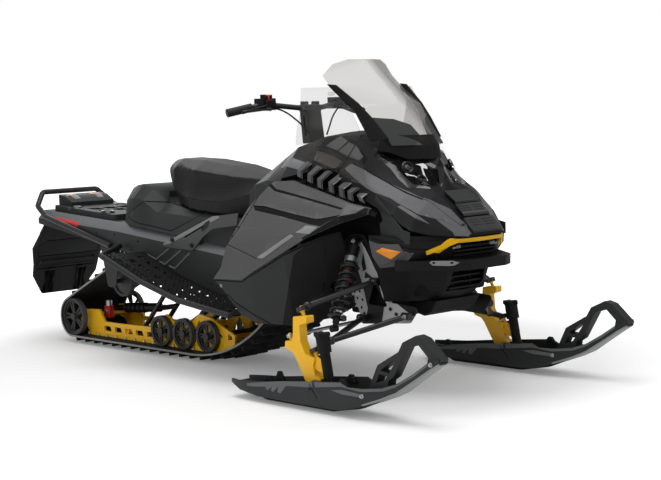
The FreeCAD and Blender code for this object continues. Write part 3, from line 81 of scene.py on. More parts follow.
def surface(name, colour, rough, grain, relief, drift=0.08, metallic=0.0, coat=0.0, edge=1.2, edge_highlight=0.1,
            specular=0.5):
    """An opaque finish: a grain of real size in mm, a slow drift of tone, and rounded edges painted paler as a
    highlight.
    """
    made = bpy.data.materials.new(name)
    made.use_nodes = True
    tree = made.node_tree
    shader = tree.nodes["Principled BSDF"]
    place = add(tree, "TexCoord", {}, {}).outputs["Object"]
    grains = add(tree, "TexNoise", {}, {"Vector": place, "Scale": 1 / (grain * MM), "Detail": 3.0, "Roughness": 0.6})
    slow = add(tree, "TexNoise", {}, {"Vector": place, "Scale": DRIFT_SCALE, "Detail": 2.0})
    soft = add(tree, "Bevel", {"samples": 4}, {"Radius": edge * MM})
    flat = add(tree, "NewGeometry", {}, {})
    turned = add(tree, "VectorMath", {"operation": "DOT_PRODUCT"}, {0: soft.outputs[0], 1: flat.outputs["Normal"]})
    # Painted highlight: where the rounded normal turns from the flat one, the colour is mixed toward a paler one.
    highlight_share = add(tree, "MapRange", {},
                 {"Value": turned.outputs["Value"], 1: EDGE_FROM, 2: EDGE_FULL, 3: 0.0, 4: edge_highlight})
    base = Vector(linear(colour)[:3])
    dark = [part * (1 - drift) for part in base] + [1.0]
    light = [min(part * (1 + drift), 1.0) for part in base] + [1.0]
    toned = add(tree, "Mix", {"data_type": "RGBA"}, {0: slow.outputs["Fac"], 6: dark, 7: light})
    paler = [min(part * 2.2 + 0.06, 1.0) for part in base] + [1.0]
    highlighted = add(tree, "Mix", {"data_type": "RGBA"}, {0: highlight_share.outputs[0], 6: toned.outputs[2], 7: paler})
    tree.links.new(highlighted.outputs[2], shader.inputs["Base Color"])
    glint = add(tree, "MapRange", {},
                {"Value": grains.outputs["Fac"], 3: rough - GLOSSIER, 4: min(rough + DULLER, 1.0)})
    tree.links.new(glint.outputs[0], shader.inputs["Roughness"])
    bump = add(tree, "Bump", {}, {"Height": grains.outputs["Fac"], "Distance": relief * MM, "Strength": 0.8,
                                  "Normal": soft.outputs[0]})
    tree.links.new(bump.outputs[0], shader.inputs["Normal"])
    shader.inputs["Metallic"].default_value = metallic
    shader.inputs["Coat Weight"].default_value = coat
    shader.inputs["Specular IOR Level"].default_value = specular
    return made


def clear(name, colour, rim_colour, body_share, rim_share, rough=0.06, specular=0.5):
    """A clear moulding: it shows what is behind it, thickens to a rim where it turns away, and reflects the room."""
    made = bpy.data.materials.new(name)
    made.use_nodes = True
    tree = made.node_tree
    shader = tree.nodes["Principled BSDF"]
    place = add(tree, "TexCoord", {}, {}).outputs["Object"]
    turn = add(tree, "LayerWeight", {}, {"Blend": 0.35})
    haze = add(tree, "TexNoise", {}, {"Vector": place, "Scale": 1 / (25 * MM), "Detail": 3.0})
    tone = add(tree, "Mix", {"data_type": "RGBA"},
               {0: turn.outputs["Facing"], 6: linear(colour), 7: linear(rim_colour)})
    tree.links.new(tone.outputs[2], shader.inputs["Base Color"])
    share = add(tree, "MapRange", {}, {"Value": turn.outputs["Facing"], 1: 0.2, 2: 0.95, 3: body_share, 4: rim_share})
    tree.links.new(share.outputs[0], shader.inputs["Alpha"])
    gloss = add(tree, "MapRange", {}, {"Value": haze.outputs["Fac"], 3: rough, 4: rough + 0.05})
    tree.links.new(gloss.outputs[0], shader.inputs["Roughness"])
    shader.inputs["IOR"].default_value = POLYCARBONATE_IOR
    shader.inputs["Specular IOR Level"].default_value = specular
    return made


# Polypropylene moulded in a fine spark-eroded grain: a dull, even black whose edges catch a pale line.
black_plastic = surface("textured_polypropylene_black", "151516", 0.52, 1.6, 0.05, specular=0.17)
# The same moulding painted a shade paler, a lit copy of the black for parts that catch more light, as on the storage
# box, rack, lower sides and ski loops.
lit_charcoal_plastic = surface("textured_polypropylene_charcoal_painted_light", "2c2d2d", 0.50, 1.6, 0.05, specular=0.26)
# Painted thermoplastic body panels in satin grey: smooth, with a broad soft highlight on each facet.
panel_grey = surface("satin_painted_panel_grey", "4c4c4c", 0.44, 2.2, 0.02, drift=0.04, coat=0.04, specular=0.35)
# The hood's side bands in a lighter satin grey, which read as a stripe from headlamp to nose.
band_grey = surface("satin_painted_band_grey", "58585a", 0.44, 2.2, 0.02, drift=0.04, coat=0.04, specular=0.35)
# Trim strips moulded in pale grey, the lightest line on the side.
trim_grey = surface("moulded_trim_light_grey", "838485", 0.42, 2.0, 0.02, drift=0.04, specular=0.35)
# Gloss black acrylic on louvre lips, lamp surrounds, hood grille and anchor rims: deep, with sharp reflections.
gloss_black = surface("gloss_black_acrylic", "0c0c0d", 0.16, 2.0, 0.01, coat=0.5, edge=0.8)
# Near black for seams, slots and openings, and painted shade: the crease channels, recesses, gill sheet and the bay
# behind the grilles are painted this dark for the shade in them.
seam_and_shade_black = surface("seam_black_and_painted_shade", "0a0a0b", 0.75, 2.0, 0.05, edge_highlight=0.0, specular=0.2)
# Powder-coated steel and aluminium tube: slightly orange-peeled satin black.
black_paint = surface("powder_coat_satin_black", "1b1b1c", 0.38, 2.4, 0.06, coat=0.15)
# Anodised tunnel side in dark grey, a little metallic.
tunnel_dark = surface("anodised_aluminium_charcoal", "2f3030", 0.48, 1.8, 0.03, metallic=0.1, drift=0.06,
                      specular=0.35)
# The tunnel's painted shoulder, the paler line that runs under the seat.
tunnel_light = surface("painted_aluminium_mid_grey", "646567", 0.44, 1.8, 0.03, drift=0.05, specular=0.35)
# Yellow powder coat on the rails and the ski legs: strong and glossy, duller in the grain.
rail_yellow = surface("powder_coat_warm_yellow", "ffbf06", 0.38, 2.6, 0.06, coat=0.12, edge_highlight=0.05, drift=0.08)
# Yellow plastic lip round the nose grille.
strip_yellow = surface("moulded_strip_yellow", "fbbe0c", 0.42, 2.0, 0.02, specular=0.3)
# Vulcanised rubber of the track: dull, soft-edged and a little dusty.
track_rubber = surface("vulcanised_track_rubber", "1c1c1d", 0.72, 3.0, 0.15, drift=0.15, specular=0.3)
# The belt's side edge, painted pale grey as a highlight line.
belt_edge_highlight = surface("belt_side_painted_highlight_grey", "8c8e8d", 0.70, 3.0, 0.10, edge_highlight=0.0)
# Glass-filled nylon wheels: near black with a soft sheen, and a strong painted highlight on their edges.
wheel_plastic = surface("glass_filled_nylon_black", "2b2b2d", 0.42, 2.0, 0.05, edge_highlight=0.35, specular=0.4)
# The wheels' moulded rubber tyre, painted a paler grey as the highlight on the rim.
tyre_highlight_rubber = surface("wheel_tyre_painted_highlight_grey", "464748", 0.60, 2.0, 0.06, edge_highlight=0.3)
# Zinc-plated steel fasteners, clips and rods.
zinc_steel = surface("zinc_plated_steel", "b9babb", 0.30, 1.5, 0.03, metallic=0.9, edge_highlight=0.2, edge=0.5)
# Sand-cast aluminium brackets: pale, matt and slightly rough.
cast_aluminium = surface("sand_cast_aluminium", "b4b5b6", 0.50, 2.5, 0.12, metallic=0.15, drift=0.10)
# Blackened steel of the engine and the suspension frame, in shade.
dark_steel = surface("blackened_steel", "19191a", 0.45, 2.0, 0.05, metallic=0.4)
# Punched aluminium tread of the running boards, painted near black, with a painted highlight on its teeth's tips.
board_black = surface("punched_board_black", "0e0e0f", 0.60, 2.0, 0.05, edge=0.8, edge_highlight=0.25, specular=0.2)
# Moulded rubber sheet of the snow flap: matt charcoal with a fine texture.
flap_rubber = surface("moulded_rubber_black", "272728", 0.62, 2.0, 0.08, specular=0.3)
# Softer rubber on the bar's grips: matt black with a deeper texture.
grip_rubber = surface("grip_rubber_black", "161617", 0.60, 1.8, 0.10, specular=0.4)
# Ultra-high-density polyethylene skis: waxy dark grey.
ski_plastic = surface("polyethylene_ski_charcoal", "262728", 0.46, 2.2, 0.04, drift=0.06, specular=0.35)
# The same plastic in a paler grey, on the bands of the skis' side walls; along the rim of the curved front the same
# grey is a painted highlight.
ski_light = surface("polyethylene_ski_grey", "606163", 0.46, 2.2, 0.04, drift=0.06, specular=0.35)
# The sole under the curved front, painted a paler grey as the white floor's reflection in it.
ski_sole_reflection = surface("polyethylene_sole_painted_reflection", "8e8f90", 0.40, 2.2, 0.03, drift=0.06, edge_highlight=0.0, specular=0.35)
# Red anodised parts and red plastic: the shock marks, reservoir block and stop switch.
red_paint = surface("red_anodised_aluminium", "c8231f", 0.34, 1.8, 0.02, coat=0.2, edge_highlight=0.05)
# Moulded acrylic reflectors and marker lamps, whose back is cut in small prisms.
red_lens = surface("moulded_acrylic_red", "c3221d", 0.22, 2.4, 0.20, coat=0.5, edge_highlight=0.05)
amber_lens = surface("moulded_acrylic_amber", "ef8f14", 0.24, 2.4, 0.20, coat=0.5, edge_highlight=0.05)
# Bright aluminium vapour on the lamp bowls: a mirror.
lamp_mirror = surface("vapour_aluminised_reflector", "d8dadc", 0.10, 2.0, 0.005, metallic=1.0, edge=0.4, edge_highlight=0.0)
# Smoked brown-grey plastic under the dash.
smoked_brown = surface("smoked_plastic_brown", "2e2822", 0.40, 2.0, 0.03)
# Formed polycarbonate of the windshield: a faint warm grey that darkens where the sheet turns away.
clear_sheet = clear("clear_polycarbonate_warm_grey", "827d76", "57534d", 0.26, 0.85)
# The deflectors' thinner polycarbonate sheet, which hardly tints what is behind it.
thin_sheet = clear("clear_polycarbonate_thin", "45423f", "302e2c", 0.12, 0.40)
# Smoked polycarbonate over the headlamps: the bowls behind it show only as glints.
lamp_cover = clear("smoked_polycarbonate_lamp_cover", "08090a", "030304", 0.30, 0.80, rough=0.10, specular=0.25)
# Expanded vinyl on the seat's top, embossed with a coarse grip grain: dark grey with a soft sheen.
seat_vinyl = surface("grip_grain_vinyl_grey", "3d3d3e", 0.50, 2.6, 0.25, drift=0.05, specular=0.40)
# Smoother calendered vinyl on the seat's sides, painted nearly black as shade, so that the top stands out from it.
seat_side_shade_vinyl = surface("vinyl_black_painted_side_shade", "161617", 0.46, 2.0, 0.10, drift=0.05, specular=0.30)
# The sewn welt round the seat: the darkest line on it.
welt_black = surface("sewn_welt_black", "080808", 0.55, 1.5, 0.05, edge_highlight=0.0, specular=0.25)


# ---------------------------------------------------------------- making pieces

# For each view: the axis across, the axis up and the axis that it looks along.
AXES = {"side": (0, 2, 1), "top": (0, 1, 2), "front": (1, 2, 0)}
# A face is marked from a view only where it is turned to it by at least this cosine.
FACE_TURN = 0.12
# Neighbouring triangles flatter to each other than this are one flat region.
FLAT_ANGLE = math.radians(0.5)


def copy_of(*nodes):
    """CAD meshes as one bmesh, merged, with their flat regions rejoined."""
    made = bmesh.new()
    for node in nodes:
        made.from_mesh(NODES[node].data)
    bmesh.ops.remove_doubles(made, verts=made.verts, dist=WELD)
    bmesh.ops.dissolve_limit(made, angle_limit=FLAT_ANGLE, verts=made.verts, edges=made.edges)
    return made


def finished(name, made, body, finishes, bevel=0.0, smooth=35, limit=28):
    """Turns a bmesh into a piece that rides on a body, with edges rounded by bevel mm."""
    mesh = bpy.data.meshes.new(name)
    made.to_mesh(mesh)
    made.free()
    for finish in finishes:
        mesh.materials.append(finish)
    mesh.shade_smooth()
    mesh.set_sharp_from_angle(angle=math.radians(smooth))
    piece = bpy.data.objects.new(name, mesh)
    scene.collection.objects.link(piece)
    if bevel:
        round_off = piece.modifiers.new("rounded_edges", "BEVEL")
        round_off.width = bevel * MM
        round_off.segments = 2
        round_off.limit_method = "ANGLE"
        round_off.angle_limit = math.radians(limit)
        round_off.harden_normals = True
    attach(piece, body)
    return piece


def inside(outline, across, up):
    """Whether a flat point lies inside an outline."""
    within = False
    for (a, b), (c, d) in zip(outline, outline[1:] + outline[:1]):
        if (b > up) != (d > up) and across < a + (up - b) * (c - a) / (d - b):
            within = not within
    return within


def skin_near(made, outline, view, side):
    """The faces that look out along a view and may lie under an outline."""
    across, up, along = AXES[view]
    low = [min(point[k] for point in outline) * MM for k in (0, 1)]
    high = [max(point[k] for point in outline) * MM for k in (0, 1)]
    near = []
    for face in made.faces:
        if face.normal[along] * side < FACE_TURN:
            continue
        if view == "side" and face.calc_center_median()[1] * side < 0:
            continue
        points = [vert.co for vert in face.verts]
        if max(p[across] for p in points) < low[0] or min(p[across] for p in points) > high[0]:
            continue
        if max(p[up] for p in points) < low[1] or min(p[up] for p in points) > high[1]:
            continue
        near.append(face)
    return near


def under(made, outline, view, side):
    """Cuts an outline's edges, in mm, into the skin under it and returns the faces inside."""
    across, up, along = AXES[view]
    for (a, b), (c, d) in zip(outline, outline[1:] + outline[:1]):
        start, step, sight = Vector(), Vector(), Vector()
        start[across], start[up] = a * MM, b * MM
        step[across], step[up] = (c - a) * MM, (d - b) * MM
        sight[along] = 1
        near = skin_near(made, outline, view, side)
        cut = near + list({edge for face in near for edge in face.edges})
        cut += list({vert for face in near for vert in face.verts})
        bmesh.ops.bisect_plane(made, geom=cut, dist=ON_THE_CUT, plane_co=start,
                               plane_no=step.cross(sight).normalized())
    made.normal_update()
    found = []
    for face in skin_near(made, outline, view, side):
        middle = face.calc_center_median()
        if inside(outline, middle[across] / MM, middle[up] / MM):
            found.append(face)
    return found


def mirrored(outline, view):
    """The same outline on the other side, for the views in which left and right are seen."""
    flip = {"top": (1, -1), "front": (-1, 1)}[view]
    return [(a * flip[0], b * flip[1]) for a, b in outline]


def mark(made, finish, view, outline, depth=0.0, wall=0.8):
    """Gives the skin under an outline its own finish, sunk or raised by depth mm, on both sides of the sled."""
    if view == "side":
        turns = [(outline, -1), (outline, 1)]
    else:
        half = [point[1] if view == "top" else point[0] for point in outline]
        turns = [(outline, 1)]
        if min(half) >= 0 or max(half) <= 0:
            turns.append((mirrored(outline, view), 1))
    for shape, side in turns:
        faces = under(made, shape, view, side)
        if not faces:
            continue
        for face in faces:
            face.material_index = finish
        if depth:
            bmesh.ops.inset_region(made, faces=faces, thickness=wall * MM, depth=depth * MM,
                                   use_even_offset=True, use_boundary=True)


def ribbon(points, width):
    """The outline of a line of this width through flat points."""
    near, far = [], []
    for at, point in enumerate(points):
        before = Vector(points[max(at - 1, 0)])
        after = Vector(points[min(at + 1, len(points) - 1)])
        run = (after - before).normalized()
        out = Vector((-run.y, run.x)) * (width / 2)
        near.append(tuple(Vector(point) + out))
        far.append(tuple(Vector(point) - out))
    return near + far[::-1]


def dressed(name, nodes, body, finishes, marks=(), bevel=1.5, limit=28):
    """A CAD node's shape with rounded edges, and with marks: (finish, view, outline, depth)."""
    made = copy_of(*nodes)
    for finish, view, outline, depth in marks:
        mark(made, finish, view, outline, depth)
    piece = finished(name, made, body, finishes, bevel, limit=limit)
    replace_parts(piece, *nodes)
    return piece


def coat(node, *finishes):
    """Gives a carried-over CAD node its finish."""
    mesh = NODES[node].data
    mesh.materials.clear()
    for finish in finishes:
        mesh.materials.append(finish)


# ---------------------------------------------------------------- camera, room and floor

FOCAL_LENGTH, SENSOR_WIDTH = 81.39, 36
EYE = Vector((4.87204581, -4.23838432, 1.08852748))
AZIMUTH, ELEVATION, ROLL = (math.radians(turn) for turn in (136.24057, -4.975577, -1.62648))
look = Vector((math.cos(ELEVATION) * math.cos(AZIMUTH), math.cos(ELEVATION) * math.sin(AZIMUTH), math.sin(ELEVATION)))
level = look.cross(Vector((0, 0, 1))).normalized()
upright = level.cross(look)
right = math.cos(ROLL) * level + math.sin(ROLL) * upright
upward = -math.sin(ROLL) * level + math.cos(ROLL) * upright
lens = bpy.data.cameras.new("camera")
lens.lens = FOCAL_LENGTH
lens.sensor_width = SENSOR_WIDTH
lens.clip_end = 100
camera = bpy.data.objects.new("camera", lens)
camera.matrix_world = Matrix((
    (right.x, upward.x, -look.x, EYE.x), (right.y, upward.y, -look.y, EYE.y),
    (right.z, upward.z, -look.z, EYE.z), (0, 0, 0, 1)))
scene.collection.objects.link(camera)
scene.camera = camera
scene.view_settings.view_transform = "Standard"

world = bpy.data.worlds.new("room")
scene.world = world
world.use_nodes = True
sky = world.node_tree
background = sky.nodes["Background"]
# The room is plain white to the camera and through glass. Its light and its reflections are dimmer,
# because white reflections would turn the black panels grey.
ROOM_LIGHT = 0.42
ray = add(sky, "LightPath", {}, {})
seen = add(sky, "Math", {"operation": "MAXIMUM"},
           {0: ray.outputs["Is Camera Ray"], 1: ray.outputs["Is Transmission Ray"]})
power = add(sky, "Math", {"operation": "MAXIMUM"}, {0: seen.outputs[0], 1: ROOM_LIGHT})
sky.links.new(power.outputs[0], background.inputs["Strength"])
background.inputs["Color"].default_value = (1, 1, 1, 1)

for name, place, aim, size, watts in (
        ("overhead_softbox", (0.4, -0.6, 3.6), (0.0, 0.0, 0.4), 3.0, 74),
        ("side_softbox", (1.2, -4.2, 2.2), (0.1, 0.0, 0.5), 2.4, 34),
        ("front_softbox", (4.6, 0.8, 1.6), (0.6, 0.0, 0.5), 2.0, 12),
        ("rear_softbox", (-4.2, 1.6, 2.4), (0.0, 0.0, 0.5), 2.4, 28)):
    lamp = bpy.data.lights.new(name, "AREA")
    lamp.size = size
    lamp.energy = watts
    shade = bpy.data.objects.new(name, lamp)
    shade.location = place
    shade.rotation_euler = (Vector(aim) - Vector(place)).to_track_quat("-Z", "Y").to_euler()
    scene.collection.objects.link(shade)

FLOOR_HALF = 30
# The floor lies just under the sled, so that the two don't share a surface.
FLOOR_DROP = 0.5 * MM
# Past the second radius the floor glows as white as the room; within the first it takes the shadow.
SHADOW_RADIUS, WHITE_RADIUS = 1.4, 3.0
SHADOW_GLOW = 0.15
made = bmesh.new()
bmesh.ops.create_grid(made, x_segments=1, y_segments=1, size=FLOOR_HALF)
bmesh.ops.translate(made, verts=made.verts, vec=(0, 0, -FLOOR_DROP))
floor_mesh = bpy.data.meshes.new("floor")
made.to_mesh(floor_mesh)
made.free()
# Matt white studio paper: it takes the sled's soft shadow and otherwise shows as plain white.
paper = bpy.data.materials.new("matt_white_studio_paper")
paper.use_nodes = True
tree = paper.node_tree
sheet = tree.nodes["Principled BSDF"]
sheet.inputs["Base Color"].default_value = (0.88, 0.88, 0.88, 1)
sheet.inputs["Roughness"].default_value = 0.9
sheet.inputs["Specular IOR Level"].default_value = 0.0
seen_by = add(tree, "LightPath", {}, {})
spot = add(tree, "VectorMath", {"operation": "LENGTH"}, {0: add(tree, "TexCoord", {}, {}).outputs["Object"]})
rise = add(tree, "MapRange", {}, {"Value": spot.outputs["Value"], 1: SHADOW_RADIUS, 2: WHITE_RADIUS,
                                    3: SHADOW_GLOW, 4: 1.0})
glow = add(tree, "Math", {"operation": "MULTIPLY"}, {0: seen_by.outputs["Is Camera Ray"], 1: rise.outputs[0]})
sheet.inputs["Emission Color"].default_value = (1, 1, 1, 1)
tree.links.new(glow.outputs[0], sheet.inputs["Emission Strength"])
floor_mesh.materials.append(paper)
floor = bpy.data.objects.new("floor", floor_mesh)
scene.collection.objects.link(floor)

# ---------------------------------------------------------------- carried-over nodes

for node, finish in (
        ("slide_rails", rail_yellow), ("drive_axle", dark_steel), ("slide_arms", black_paint),
        ("rear_damper", dark_steel), ("rear_grab_loop", black_paint), ("headlamps", lamp_cover),
        ("nose_grille", black_plastic), ("wind_deflectors", thin_sheet), ("engine_block", dark_steel),
        ("upper_arms", black_paint), ("lower_arms", black_paint), ("front_shocks", dark_steel),
        ("tie_rod_right", zinc_steel), ("tie_rod_left", zinc_steel), ("handlebar", black_paint),
        ("grips", grip_rubber), ("controls", black_plastic)):
    coat(node, finish)

# The running boards' outer tube is in the paler charcoal, painted lighter than the punched tread for the light it
# catches.
RAIL_INSIDE = 424 * MM
for hand in ("right", "left"):
    coat("running_board_" + hand, board_black, lit_charcoal_plastic)
    for face in NODES["running_board_" + hand].data.polygons:
        face.material_index = 1 if abs(face.center.y) > RAIL_INSIDE else 0

# ---------------------------------------------------------------- body panels

CREASE_UPPER = [(420, 806), (468, 784), (600, 765), (892, 722), (884, 716), (600, 757), (462, 775), (412, 796)]
CREASE_LOWER = [(366, 718), (437, 718), (647, 692), (769, 680), (808, 684), (900, 700), (812, 655), (740, 660),
                (567, 682), (390, 700)]
TRIM_STRIP = [(487, 523), (524, 521), (680, 613), (659, 620)]
SHORT_FACET = [(684, 627), (730, 655), (800, 652), (764, 624)]
SPEAR = [(722, 608), (770, 628), (812, 652), (880, 690), (946, 705), (985, 740), (992, 700), (981, 690), (749, 598)]
REAR_COLUMN = [(402, 800), (362, 711), (328, 626), (291, 566)]
LOWER_FACET_LINE = [(286, 567), (400, 540), (487, 519)]
SPLIT_LINE = [(230, 421), (404, 424), (751, 604), (985, 694)]
# Painted shade: the two crease channels are sunk and painted near black for the shade in them.
SIDE_MARKS = (
    (1, "side", CREASE_UPPER, -2.2), (1, "side", CREASE_LOWER, -2.4), (1, "side", SPEAR, -0.6),
    (2, "side", TRIM_STRIP, 1.6), (2, "side", SHORT_FACET, 1.0),
    (1, "side", ribbon(REAR_COLUMN, 4), -1.6), (1, "side", ribbon(LOWER_FACET_LINE, 3), -1.2))
LOWER_MARKS = (
    (1, "side", ribbon(SPLIT_LINE, 5), -1.0),
    (1, "side", ribbon([(262, 372), (318, 366), (352, 338), (520, 262)], 5), -1.6),
    # Painted shade: the front facets, turned forward and down, are painted in the darker black.
    (3, "side", [(655, 536), (722, 596), (800, 640), (800, 262), (575, 262), (624, 411)], 0),
    (2, "side", [(270, 405), (282, 409), (286, 396), (274, 392)], 1.0))
for hand, _ in RIGHT_AND_LEFT:
    dressed("side_panel_skin_" + hand, ["side_panel_" + hand], "chassis",
            [panel_grey, seam_and_shade_black, trim_grey], SIDE_MARKS, bevel=2.5)
    dressed("lower_panel_skin_" + hand, ["lower_panel_" + hand], "chassis",
            [lit_charcoal_plastic, seam_and_shade_black, trim_grey, black_plastic], LOWER_MARKS, bevel=2.5)

BAND = [(796, 882), (870, 858), (920, 838), (1030, 790), (1123, 747), (1165, 726), (1194, 710), (1238, 667),
        (1287, 627), (1261, 625), (1206, 670), (1173, 680), (1135, 695), (1079, 725), (1022, 755), (957, 776),
        (877, 813), (849, 827), (784, 862)]
BAND_CROWN = [(1110, -152), (1165, -115), (1194, -96), (1238, -85), (1290, -82), (1290, -140), (1240, -140),
              (1190, -160), (1130, -180)]
BAND_SPEAR = [(1070, 729), (1138, 690), (1176, 659), (1128, 686), (1060, 726)]
BAND_EDGE = [(800, 884), (870, 861), (920, 841), (1060, 772), (1132, 741), (1190, 696), (1252, 646)]
HOOD_QUAD = [(771, 947), (784, 943), (836, 905), (824, 892), (771, 907)]
HOOD_RIM = [(771, 962), (784, 952), (864, 895), (856, 876), (807, 890), (771, 894)]
LAMP_SURROUND = [(868, 938), (962, 862), (1000, 824), (1042, 792), (1100, 784), (1080, 856), (1003, 896), (948, 926)]
HOOD_MARKS = (
    (2, "side", HOOD_RIM, 0), (4, "side", HOOD_QUAD, 1.0), (1, "side", BAND, 0.8),
    (2, "side", ribbon(BAND_EDGE, 3), -1.0), (1, "top", BAND_CROWN, 0), (1, "side", BAND_SPEAR, 0),
    (3, "side", LAMP_SURROUND, 0))
dressed("hood_skin", ["hood"], "chassis",
        [black_plastic, band_grey, seam_and_shade_black, gloss_black, panel_grey], HOOD_MARKS)

# The hood's centre: a charcoal slat, then gloss black with thin charcoal vanes either side of a grey line.
GRILLE_VANES = [[(x, 62), (x, 8)] for x in (1206, 1214, 1222, 1244, 1253, 1262, 1271)]
dressed("hood_grille_skin", ["hood_grille"], "chassis",
        [gloss_black, lit_charcoal_plastic, panel_grey],
        [(1, "top", [(1120, -90), (1120, 90), (1190, 90), (1190, -90)], 0),
         (2, "top", ribbon([(1230, -84), (1230, 84)], 5), 0)]
        + [(1, "top", ribbon(vane, 4), 1.5) for vane in GRILLE_VANES], 1.5)

NOSE_MARKS = (
    (1, "side", [(966, 600), (985, 594), (1150, 558), (1107, 510), (1004, 496), (972, 560)], 0.8),
    (2, "side", ribbon([(975, 608), (1150, 572), (1215, 560)], 5), -1.4),
    (2, "side", ribbon([(1010, 490), (1110, 492), (1192, 508)], 5), -1.4),
    (2, "side", [(962, 640), (985, 622), (1100, 606), (1216, 596), (1262, 610), (1262, 640)], 0),
    (3, "side", [(1180, 556), (1233, 607), (1258, 604), (1204, 560), (1195, 552)], 2.0))
dressed("nose_skin", ["nose"], "chassis",
        [black_plastic, panel_grey, seam_and_shade_black, strip_yellow], NOSE_MARKS, 1.5)

BUMPER_PLATE = [(1190, 520), (1197, 529), (1210, 531), (1258, 530), (1273, 519), (1264, 510), (1250, 508),
                (1200, 510)]
bumper_marks = [(1, "side", BUMPER_PLATE, 1.0)]
for x in (1204, 1258):
    bolt_head = [(x - 5, 520), (x - 2, 524), (x + 3, 524), (x + 5, 520), (x + 2, 516), (x - 3, 516)]
    bumper_marks.append((2, "side", bolt_head, 0))
dressed("bumper_skin", ["front_bumper"], "chassis", [black_plastic, trim_grey, seam_and_shade_black],
        bumper_marks, bevel=2.5)
dressed("accent_lip", ["accent_strip"], "chassis", [strip_yellow], bevel=1.5)
dressed("marker_lens", ["side_markers"], "chassis", [panel_grey, amber_lens],
        [(1, "side", [(1003, 561), (1030, 575), (1112, 562), (1060, 532)], 1.5)], bevel=1.0)
dressed("chin_skid", ["belly_pan"], "chassis", [black_plastic], bevel=4)

DASH_FRAME = [(560, 938), (640, 990), (769, 965), (769, 896), (755, 898), (690, 922), (600, 940)]
DASH_QUADS = ([(622, 948), (668, 986), (722, 965), (697, 930)], [(705, 927), (730, 961), (769, 950), (769, 908)])
DASH_SMOKED = [(600, 894), (588, 931), (690, 912), (755, 890), (742, 862), (688, 874)]
CONSOLE_PAD = [(430, 866), (436, 900), (568, 882), (534, 856)]
dressed("dash_skin", ["dash"], "chassis",
        [black_plastic, panel_grey, smoked_brown, seam_and_shade_black, tunnel_light],
        [(3, "side", DASH_FRAME, 0), (1, "side", DASH_QUADS[0], 1.0), (1, "side", DASH_QUADS[1], 1.0),
         (2, "side", DASH_SMOKED, -1.5), (4, "side", CONSOLE_PAD, 1.0)], 2)
dressed("console_skin", ["console"], "chassis", [lit_charcoal_plastic, panel_grey],
        [(1, "top", [(370, 150), (375, 200), (428, 205), (428, 150)], 1.0)], 2)

TUNNEL_BARS = ([(-512, 465), (-450, 447), (-352, 502)], [(-428, 440), (-386, 429), (-268, 497)],
               [(-358, 423), (-316, 414), (-206, 489)])
REFLECTOR = [(-1268, 612), (-1045, 591), (-1056, 569), (-1238, 600)]
made = copy_of("tunnel")
for face in made.faces:
    if abs(face.normal.y) > 0.3 and face.normal.z > 0.3:
        face.material_index = 1
for bar in TUNNEL_BARS:
    mark(made, 1, "side", ribbon(bar, 8), 2.6)
mark(made, 2, "side", REFLECTOR, 1.8)
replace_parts(finished("tunnel_skin", made, "chassis", [tunnel_dark, tunnel_light, red_lens], 1.2),
            "tunnel")

dressed("brace_skin", ["seat_braces"], "chassis", [panel_grey, seam_and_shade_black, trim_grey],
        [(2, "side", [(-400, 515), (-385, 534), (-20, 668), (12, 650), (-345, 520)], 0.8),
         (1, "side", ribbon([(-232, 556), (-66, 624)], 7), -2.0)], 1.5)
dressed("rack_skin", ["cargo_rack"], "chassis", [lit_charcoal_plastic], bevel=1.5)
BOX_LID = [(-700, 632), (-564, 701), (-478, 690), (-196, 652), (-362, 576), (-612, 606)]
dressed("storage_box_skin", ["seat_box"], "chassis", [lit_charcoal_plastic, seam_and_shade_black],
        [(0, "side", BOX_LID, 1.5), (1, "side", ribbon(BOX_LID + BOX_LID[:1], 4), -1.2)], 3)
# The windshield's foot is an opaque moulded skirt; above it the sheet is clear.
SKIRT = [(740, 940), (740, 1070), (863, 1054), (905, 1047), (952, 1024), (990, 985), (1002, 940)]
dressed("windshield_sheet", ["windshield"], "chassis", [clear_sheet, lit_charcoal_plastic],
        [(1, "side", SKIRT, 0)], 1.0)
dressed("windshield_base", ["windshield_frame"], "chassis", [black_plastic], bevel=2)
FLAP_PANEL = [(-176, 404), (-183, 448), (-138, 480), (138, 480), (183, 448), (176, 404)]
dressed("flap_skin", ["snow_flap"], "chassis", [flap_rubber, seam_and_shade_black, lit_charcoal_plastic],
        [(2, "front", FLAP_PANEL, -1.5), (1, "front", ribbon(FLAP_PANEL + FLAP_PANEL[:1], 4), -1.5),
         (1, "front", ribbon([(-176, 340), (176, 340)], 6), -1.5),
         (2, "front", ribbon([(-172, 348), (172, 348)], 7), 3),
         (2, "front", ribbon([(-154, 388), (154, 388)], 5), 2),
         (2, "front", ribbon([(-174, 350), (-154, 388)], 4), 2), (2, "front", ribbon([(174, 350), (154, 388)], 4), 2),
         (1, "front", [(-98, 216), (-58, 216), (-90, 326), (-126, 326)], -5),
         (1, "front", [(98, 212), (136, 212), (96, 326), (62, 326)], -5),
         (2, "front", ribbon([(-196, 458), (-150, 600)], 7), 3),
         (2, "front", ribbon([(-168, 470), (-120, 600)], 5), 2)], 2)

# The gill's sheet behind the louvre blades is painted near black: painted shade, for the shade that it lies in.
dressed("gill_skin", ["gill_louvers"], "chassis", [seam_and_shade_black])

SKI_BAND = [(600, 66), (640, 73), (834, 101), (965, 113), (965, 90), (900, 87), (824, 81), (792, 50), (775, 52),
            (781, 74), (752, 51), (740, 53), (745, 69), (720, 53), (712, 56), (710, 65), (640, 58), (600, 56)]
# The rim of the curved front is painted paler as a highlight.
SKI_RIM_HIGHLIGHT = [(1115, 116), (1210, 108), (1300, 118), (1350, 136), (1430, 181), (1490, 222)]
SKI_MARKS = (
    (1, "side", SKI_BAND, 0.8),
    (1, "side", [(975, 112), (1115, 126), (1120, 112), (980, 94)], 0.8),
    (2, "side", ribbon([(950, 104), (990, 52)], 4), -1.5),
    (1, "side", [(1062, 94), (1120, 101), (1212, 95), (1212, 84), (1120, 84)], 2.5),
    (1, "side", ribbon(SKI_RIM_HIGHLIGHT, 10), 0))
